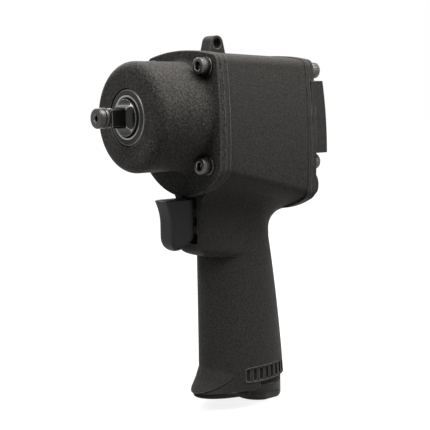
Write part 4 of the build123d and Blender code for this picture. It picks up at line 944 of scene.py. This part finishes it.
# At each angle, a square's flat lies at half its width over this number.
to_flat = np.maximum(np.abs(np.cos(angles)), np.abs(np.sin(angles)))


def square(half):
    """A square's radius at each angle, with its corners on a circle: the smaller of the two."""
    return np.minimum(half / to_flat, square_circle * half / square_half)


def jaw_outline():
    """The jaw's radius: a round core, and downward a block inside the jaw's circle."""
    block = np.minimum(jaw, jaw_half / np.maximum(np.abs(np.cos(angles)), almost_zero))
    return np.where(np.sin(angles) < 0, np.maximum(block, jaw_core), jaw_core)


def shoulder(height):
    """The smaller of the turned cone and the flats, which rise by a quarter circle to a wall."""
    stations = (cone_front, 0, cone_length, cone_length + cone_edge_length)
    radii = (square_circle, cone_small, cone_large - cone_edge, cone_large)
    reach = height - run_out_start
    lift = run_out - np.sqrt(run_out**2 - reach**2) if reach < run_out else cone_large
    return np.minimum(np.interp(height, stations, radii), (square_half + lift) / to_flat)


def nose_rim(turn):
    """A quarter circle from the nose's end to its side, as a radius and a height."""
    return nose - nose_edge * (1 - np.sin(turn)), anvil_tip + nose_edge * (1 - np.cos(turn))


print("corners of the square reach", round(float(square(square_half).max()), 2), "mm")

# %% Anvil
run_out_end = run_out + run_out_start + run_out_beyond
cone_foot = np.linspace(run_out_start, cone_front, foot_rows)
cone_climb = np.linspace(0, run_out_end, run_out_rows)
anvil_rows = stacked(
    (0, anvil_tip + hole_point),
    (hole, anvil_tip + hole_depth),
    (hole, anvil_tip + hole_chamfer),
    (hole_mouth, anvil_tip),
    *[nose_rim(turn) for turn in np.linspace(0, np.pi / 2, nose_rows)],
    (nose, groove_front - groove_edge),
    (nose - groove_edge, groove_front),
    (groove_floor, groove_front),
    (groove_floor, square_front),
    (square(square_half - square_lead), square_front),
    (square(square_half), square_front + square_lead),
    *[(shoulder(height), height) for height in cone_foot],
    *[(shoulder(height), height) for height in cone_climb],
    (cone_large, collar_front),
    (collar, collar_front),
    (collar, collar_rear),
    (jaw + jaw_rim, collar_rear),
    (jaw + jaw_rim, jaw_front),
    (jaw_outline(), jaw_front),
    (jaw_outline(), jaw_rear),
    (pilot, jaw_rear),
    (pilot, pilot_end),
    (0, pilot_end),
)
add_surface("ground_anvil", about_y(*anvil_rows)[None], "anvil", "anvil_steel", "anvil", crease=25)

# %% [markdown]
# ### Anvil bush
# The anvil turns in a steel bush that is pressed into the nose of the hammer case. Its front
# has a lip round the bore, which rubs bright, and a chamfered rim. A bevel on the packed
# piece could round these edges, but a bush is a turned piece, so its outline carried round
# the axis gives them in the right sizes.

# %% Anvil bush
bush_low, bush_high = box_mm("anvil_bush")
bush_front, bush_rear = bush_low[1], bush_high[1]
bush_bore, bush_press = 9.3, 0.05
bush_outer, bush_seat = bush_high[0], bush_high[0] - bush_press
lip_inner, lip_outer = 10.1, 10.9
bush_recess, bush_chamfer = 0.3, 1.0
bush_rows = stacked(
    (bush_bore, bush_rear),
    (bush_bore, bush_front + lip_inner - bush_bore),
    (lip_inner, bush_front),
    (lip_outer, bush_front),
    (lip_outer, bush_front + bush_recess),
    (bush_outer - bush_chamfer, bush_front + bush_recess),
    (bush_seat, bush_front + bush_recess + bush_chamfer),
    (bush_seat, bush_rear),
    (bush_bore, bush_rear),
)
add_surface("chamfered_bush", about_y(*bush_rows)[None], "housing", "bush_steel", "anvil_bush")

# %% [markdown]
# ### Ring that holds a socket
# A split ring of wire lies in the groove of the nose, and springs outward to hold a socket on
# the square. It could be a bent curve with thickness, but the lock washer's rule already
# gives a split ring. This one has no slant and no climb, and its cut is on the far side.

# %% Ring that holds a socket
ring_wire, ring_cut = 0.8, 0.34
ring_low, ring_high = box_mm("socket_ring")
ring_width, ring_outer = ring_high[1] - ring_low[1], ring_high[0]
wire = open_ring(ring_outer - ring_wire, ring_outer, ring_width, start=np.pi, cut=ring_cut)
wire = wire + np.array((0, (ring_low[1] + ring_high[1]) / 2, 0))
add_surface("wire_socket_ring", wire[None], "anvil", "anvil_steel", "socket_ring")

# %% [markdown]
# ### Trigger
# The trigger is moulded, with a scoop for the finger in front, and a rounded tongue at its
# lower end. It could be cut from a block with rounded edges, but a section that changes with
# the height does more: its front follows the scoop, its width closes to the tongue, and its
# back is flat down to a round corner and a heel, under which the lip of the pocket passes.

# %% Trigger
trigger_low, trigger_high = box_mm("trigger")
trigger_tip, trigger_rear, trigger_half = trigger_low[1], trigger_high[1], trigger_high[0]
scoop_depth, scoop_end = 3.5, 0.48
chin_depth, chin_start = 5, 0.74
tongue_share, tongue_close = 0.3, 0.9
rear_corner, rear_corner_start = 3.5, 0.8
heel_depth, heel_start, heel_slope = 5.8, 0.855, 0.025
heel_round, heel_round_start = 2.5, 0.88
top_share, top_rim = 0.015, 0.9
upper_rows, lower_rows = 24, 40
rear_power, front_power = 9, 7


def quarter_round(share, start):
    """0 until start, then a quarter of a circle up to 1 at the end of the share."""
    along = np.clip((share - start) / (1 - start), 0, 1)
    return 1 - np.sqrt(1 - along**2)


def trigger_shares():
    """Heights as shares from the top down, closer together toward the tongue's end."""
    upper = np.linspace(top_share, 1 - tongue_share, upper_rows)
    lower = 1 - tongue_share * np.linspace(1, 0, lower_rows)[1:] ** 2
    return np.concatenate([[0, 0], upper, lower])[:, None]


def trigger_grid(columns=96):
    """Rounded sections in X and Y: scoop in front, flat back with a heel, and a round lower end."""
    share = trigger_shares()
    shrink = np.concatenate([[0, top_rim], np.ones(len(share) - 3), [0]])[:, None]
    scoop = scoop_depth * (1 - (1 - np.clip(share / scoop_end, 0, 1)) ** 2)
    front = trigger_tip + scoop + chin_depth * quarter_round(share, chin_start)
    corner = rear_corner * quarter_round(np.clip(share / heel_start, 0, 1), rear_corner_start)
    heel = np.maximum(corner, heel_depth * np.clip((share - heel_start) / heel_slope, 0, 1))
    rear = trigger_rear - heel - heel_round * quarter_round(share, heel_round_start)
    half = trigger_half * (1 - tongue_close * quarter_round(share, 1 - tongue_share))
    powers = np.where(np.arange(columns) < columns / 2, rear_power, front_power)
    across, along = rounded_square(powers, columns)
    x = half * across * shrink
    y = (front + rear) / 2 + (rear - front) / 2 * along * shrink
    z = np.broadcast_to(trigger_high[2] - (trigger_high[2] - trigger_low[2]) * share, x.shape)
    return np.stack([x, y, z], axis=-1)


trigger_points = trigger_grid()[None]
add_surface("scooped_trigger", trigger_points, "trigger", "trigger_plastic", "trigger", crease=40)

# %% [markdown]
# ### Pipe thread in the air inlet
# The inlet is tapped for a 1/4 in pipe fitting, 18 threads to the inch. A Screw modifier
# could wind the thread, but a helix is a short formula: a small ridge climbs the inside of
# the bore as it goes round, and fades out at both ends.

# %% Inlet thread
turn_steps = 48
thread_pitch, thread_turns, thread_inset = 25.4 / 18, 7, 1.0
bore, ridge_height, ridge_bite = 5.75, 0.62, 0.12
ridge_foot, ridge_crest = 0.55, 0.09
inlet_y = inlet_centre[1] / mm
thread_start = inlet_low.z / mm + thread_inset


def helix_ridge():
    """A ridge wound about Z inside a bore: its section's corners, faded at the ends, on a helix."""
    share = np.linspace(0, 1, thread_turns * turn_steps)[:, None]
    fade = np.clip(np.minimum(share, 1 - share) * 2 * thread_turns, 0, 1)
    inward = np.array((-ridge_bite, -ridge_bite, ridge_height, ridge_height))
    along = np.array((-ridge_foot, ridge_foot, ridge_crest, -ridge_crest))
    radius = bore - inward * fade
    turn = np.broadcast_to(2 * np.pi * thread_turns * share, radius.shape)
    rise = thread_start + thread_pitch * thread_turns * share + along * thread_pitch * fade
    return np.stack([radius * np.cos(turn), inlet_y + radius * np.sin(turn), rise], axis=-1)


add_surface("inlet_thread", helix_ridge()[None], "housing", "inlet_steel")

# %% [markdown]
# ### Throttle spring
# Behind the throttle valve a coil spring closes the air when the trigger is let go. A round
# wire is wound about the valve's axis. It keeps its length, so the valve slides into it as it
# travels.

# %% Throttle spring
spring_low, spring_high = box_mm("throttle_spring")
spring_middle = (spring_low + spring_high) / 2
spring_wire, spring_turns, wire_sides, valve_travel = 0.5, 5, 12, 6.0
spring_length = spring_high[1] - spring_low[1]


def wound_wire():
    """A circle carried along a helix about Y: turn and height grow evenly, and the ends close."""
    share = np.linspace(0, 1, spring_turns * turn_steps)[:, None]
    closed = np.where((share > 0) & (share < 1), 1.0, 0.0)
    around = np.linspace(0, 2 * np.pi, wire_sides, endpoint=False)
    turn = 2 * np.pi * spring_turns * share
    radius = spring_high[0] - spring_wire + spring_wire * np.cos(around) * closed
    rise = spring_low[1] + spring_wire + (spring_length - 2 * spring_wire) * share
    along = rise + spring_wire * np.sin(around) * closed
    up = spring_middle[2] + radius * np.sin(turn)
    return np.stack([radius * np.cos(turn), along, up], axis=-1)


coil = wound_wire()[None]
spring = add_surface("coiled_throttle_spring", coil, "housing", "spring_steel", "throttle_spring")
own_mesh(spring)

# %% [markdown]
# ### Foot of the grip
# The foot flares forward in one smooth dish, down to a thin rim that turns the exhaust away.
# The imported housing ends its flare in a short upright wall. Only that place needs another
# shape, so the whole casting is not made again: its mesh is copied, and the points that stand
# in front of the grip's oval are drawn in or out by a share that depends on their height.

# %% Dish in the foot
grip_front, grip_top, grip_length = 50.6, -73.5, 73.0
grip_depths, grip_halves, grip_bow = (44.3, 53.6), (16.5, 18.0), 0.4
dish_heights = (-146.5, -140.5, -137.0, -133.6)
dish_shares = (1.3, 0.55, 0.65, 1.0)


def grip_oval(height):
    """Half the grip's depth and width at a height: both grow downward, and the depth bows."""
    share = (grip_top - height) / grip_length
    lean = share + grip_bow * share * (1 - share)
    depth = (grip_depths[0] + (grip_depths[1] - grip_depths[0]) * lean) / 2
    return depth, grip_halves[0] + (grip_halves[1] - grip_halves[0]) * share


def dished(points):
    """Points in mm, moved along Y where they stand in front of the grip's oval.

    How far a point stands in front is multiplied by the share at its height.
    """
    x, y, z = points.T
    depth, half = grip_oval(z)
    oval_front = grip_front + depth * (1 - np.sqrt(np.clip(1 - (x / half) ** 2, 0, 1)))
    proud = np.clip(oval_front - y, 0, None) * (z < dish_heights[-1]) * (np.abs(x) < half)
    moved = y - proud * (np.interp(z, dish_heights, dish_shares) - 1)
    return np.stack([x, moved, z], axis=-1)


print("dish is", round(dish_heights[-1] - dish_heights[0], 1), "mm high")

# %% [markdown]
# ### Copy of the housing
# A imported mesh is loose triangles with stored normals. The copy's triangles are merged first,
# so that it is one closed skin, and the stored normals, which no longer fit, are removed.
# Smooth shading alone would bend the light on the large flats, so a Weighted Normal modifier
# lets the larger faces decide.

# %% Housing with a dished foot
housing_crease = 42
housing_mesh = frame["nodes"]["motor_housing"].data.copy()
weld(housing_mesh, outward=False)
stored_normals = housing_mesh.attributes.get("custom_normal")
if stored_normals:
    housing_mesh.attributes.remove(stored_normals)
smooth(housing_mesh, housing_crease)
housing_points = np.empty(3 * len(housing_mesh.vertices))
housing_mesh.vertices.foreach_get("co", housing_points)
dished_points = dished(housing_points.reshape(-1, 3) / mm)
housing_mesh.vertices.foreach_set("co", dished_points.ravel() * mm)
housing_mesh.update()
housing = add_piece("dished_housing", housing_mesh, "housing", "motor_housing")
smoothing = housing.modifiers.new("smoothing", "WEIGHTED_NORMAL")
smoothing.keep_sharp = True

# %% [markdown]
# ### Frame round the grip's slots
# A thin raised bead runs round the row of slots at the bottom of the grip. It could be an
# inset of the casting's own faces, but those are uneven triangles. So the bead's middle is a
# rounded rectangle drawn on the grip's oval, from one side round the back to the other, and a
# small circle is carried along it.

# %% Slot frame
frame_middle, frame_half_height, frame_reach = -138.25, 4.0, radians(116)
frame_power, frame_points = 14, 480
bead, bead_sides = 0.34, 10


def unit(vectors):
    """Vectors of length 1 along the given ones."""
    return vectors / np.linalg.norm(vectors, axis=-1, keepdims=True)


def grip_point(turn, height):
    """A point on the grip's oval at an angle and a height, and the way out of it there."""
    depth, half = grip_oval(height)
    y = grip_front + depth + depth * np.sin(turn)
    point = np.stack([half * np.cos(turn), y, height], axis=-1)
    return point, unit(np.stack([np.cos(turn) / half, np.sin(turn) / depth, 0 * turn], axis=-1))


def frame_bead():
    """A circle carried round a closed path on the grip, in the plane across the path."""
    wide, tall = rounded_square(frame_power, frame_points)
    turn, height = np.pi / 2 + frame_reach * wide, frame_middle + frame_half_height * tall
    middle, out = grip_point(turn, height)
    ahead = unit(np.roll(middle, -1, axis=0) - np.roll(middle, 1, axis=0))
    aside = np.cross(out, ahead)
    around = np.linspace(0, 2 * np.pi, bead_sides, endpoint=False)[:, None, None]
    return middle + bead * (np.cos(around) * out + np.sin(around) * aside)


bead_points = frame_bead()
bead_points = np.concatenate([bead_points, bead_points[:1]])[None]
add_surface("slot_frame", bead_points, "housing", "housing_coat", crease=60)

# %% [markdown]
# ### Small screws
# The reversing lever and the exhaust plate are each held by one low screw. They could be
# plain discs, since little of them shows, but the rule for the large screws makes them as
# well, without a knurl. The plate's screw points up, so its axes are swapped.

# %% Lever screw
lever_screw = {"head": 5.4, "height": 2.2, "shank": 2.0, "across_flats": 3.0, "depth": 1.7}
lever_low, lever_high = box_mm("lever_screw")
lever_middle = (lever_low + lever_high) / 2
lever_seat = lever_high[1] - lever_screw["height"]
lever_rows = socket_screw(lever_seat - lever_low[1], **lever_screw)
lever_points = at_places(about_y(*lever_rows), lever_middle[None, [0, 2]], lever_seat, 1)
add_surface("socket_lever_screw", lever_points, "reverser", "dark_steel", "lever_screw")

# %% Exhaust plate screw
plate_screw = {"head": 2.8, "height": 1.2, "shank": 1.5, "across_flats": 2.0, "depth": 0.9}
plate_low, plate_high = box_mm("deflector_screw")
plate_middle = (plate_low + plate_high) / 2
plate_seat = plate_low[2] + plate_screw["height"]
plate_rows = socket_screw(plate_high[2] - plate_seat, **plate_screw)
plate_upright = about_y(*plate_rows)[..., [0, 2, 1]] * np.array((1, 1, -1))
plate_place = np.array((plate_middle[0], plate_middle[1], plate_seat))
plate_points = (plate_upright + plate_place)[None]
add_surface("socket_deflector_screw", plate_points, "housing", "dark_steel", "deflector_screw")
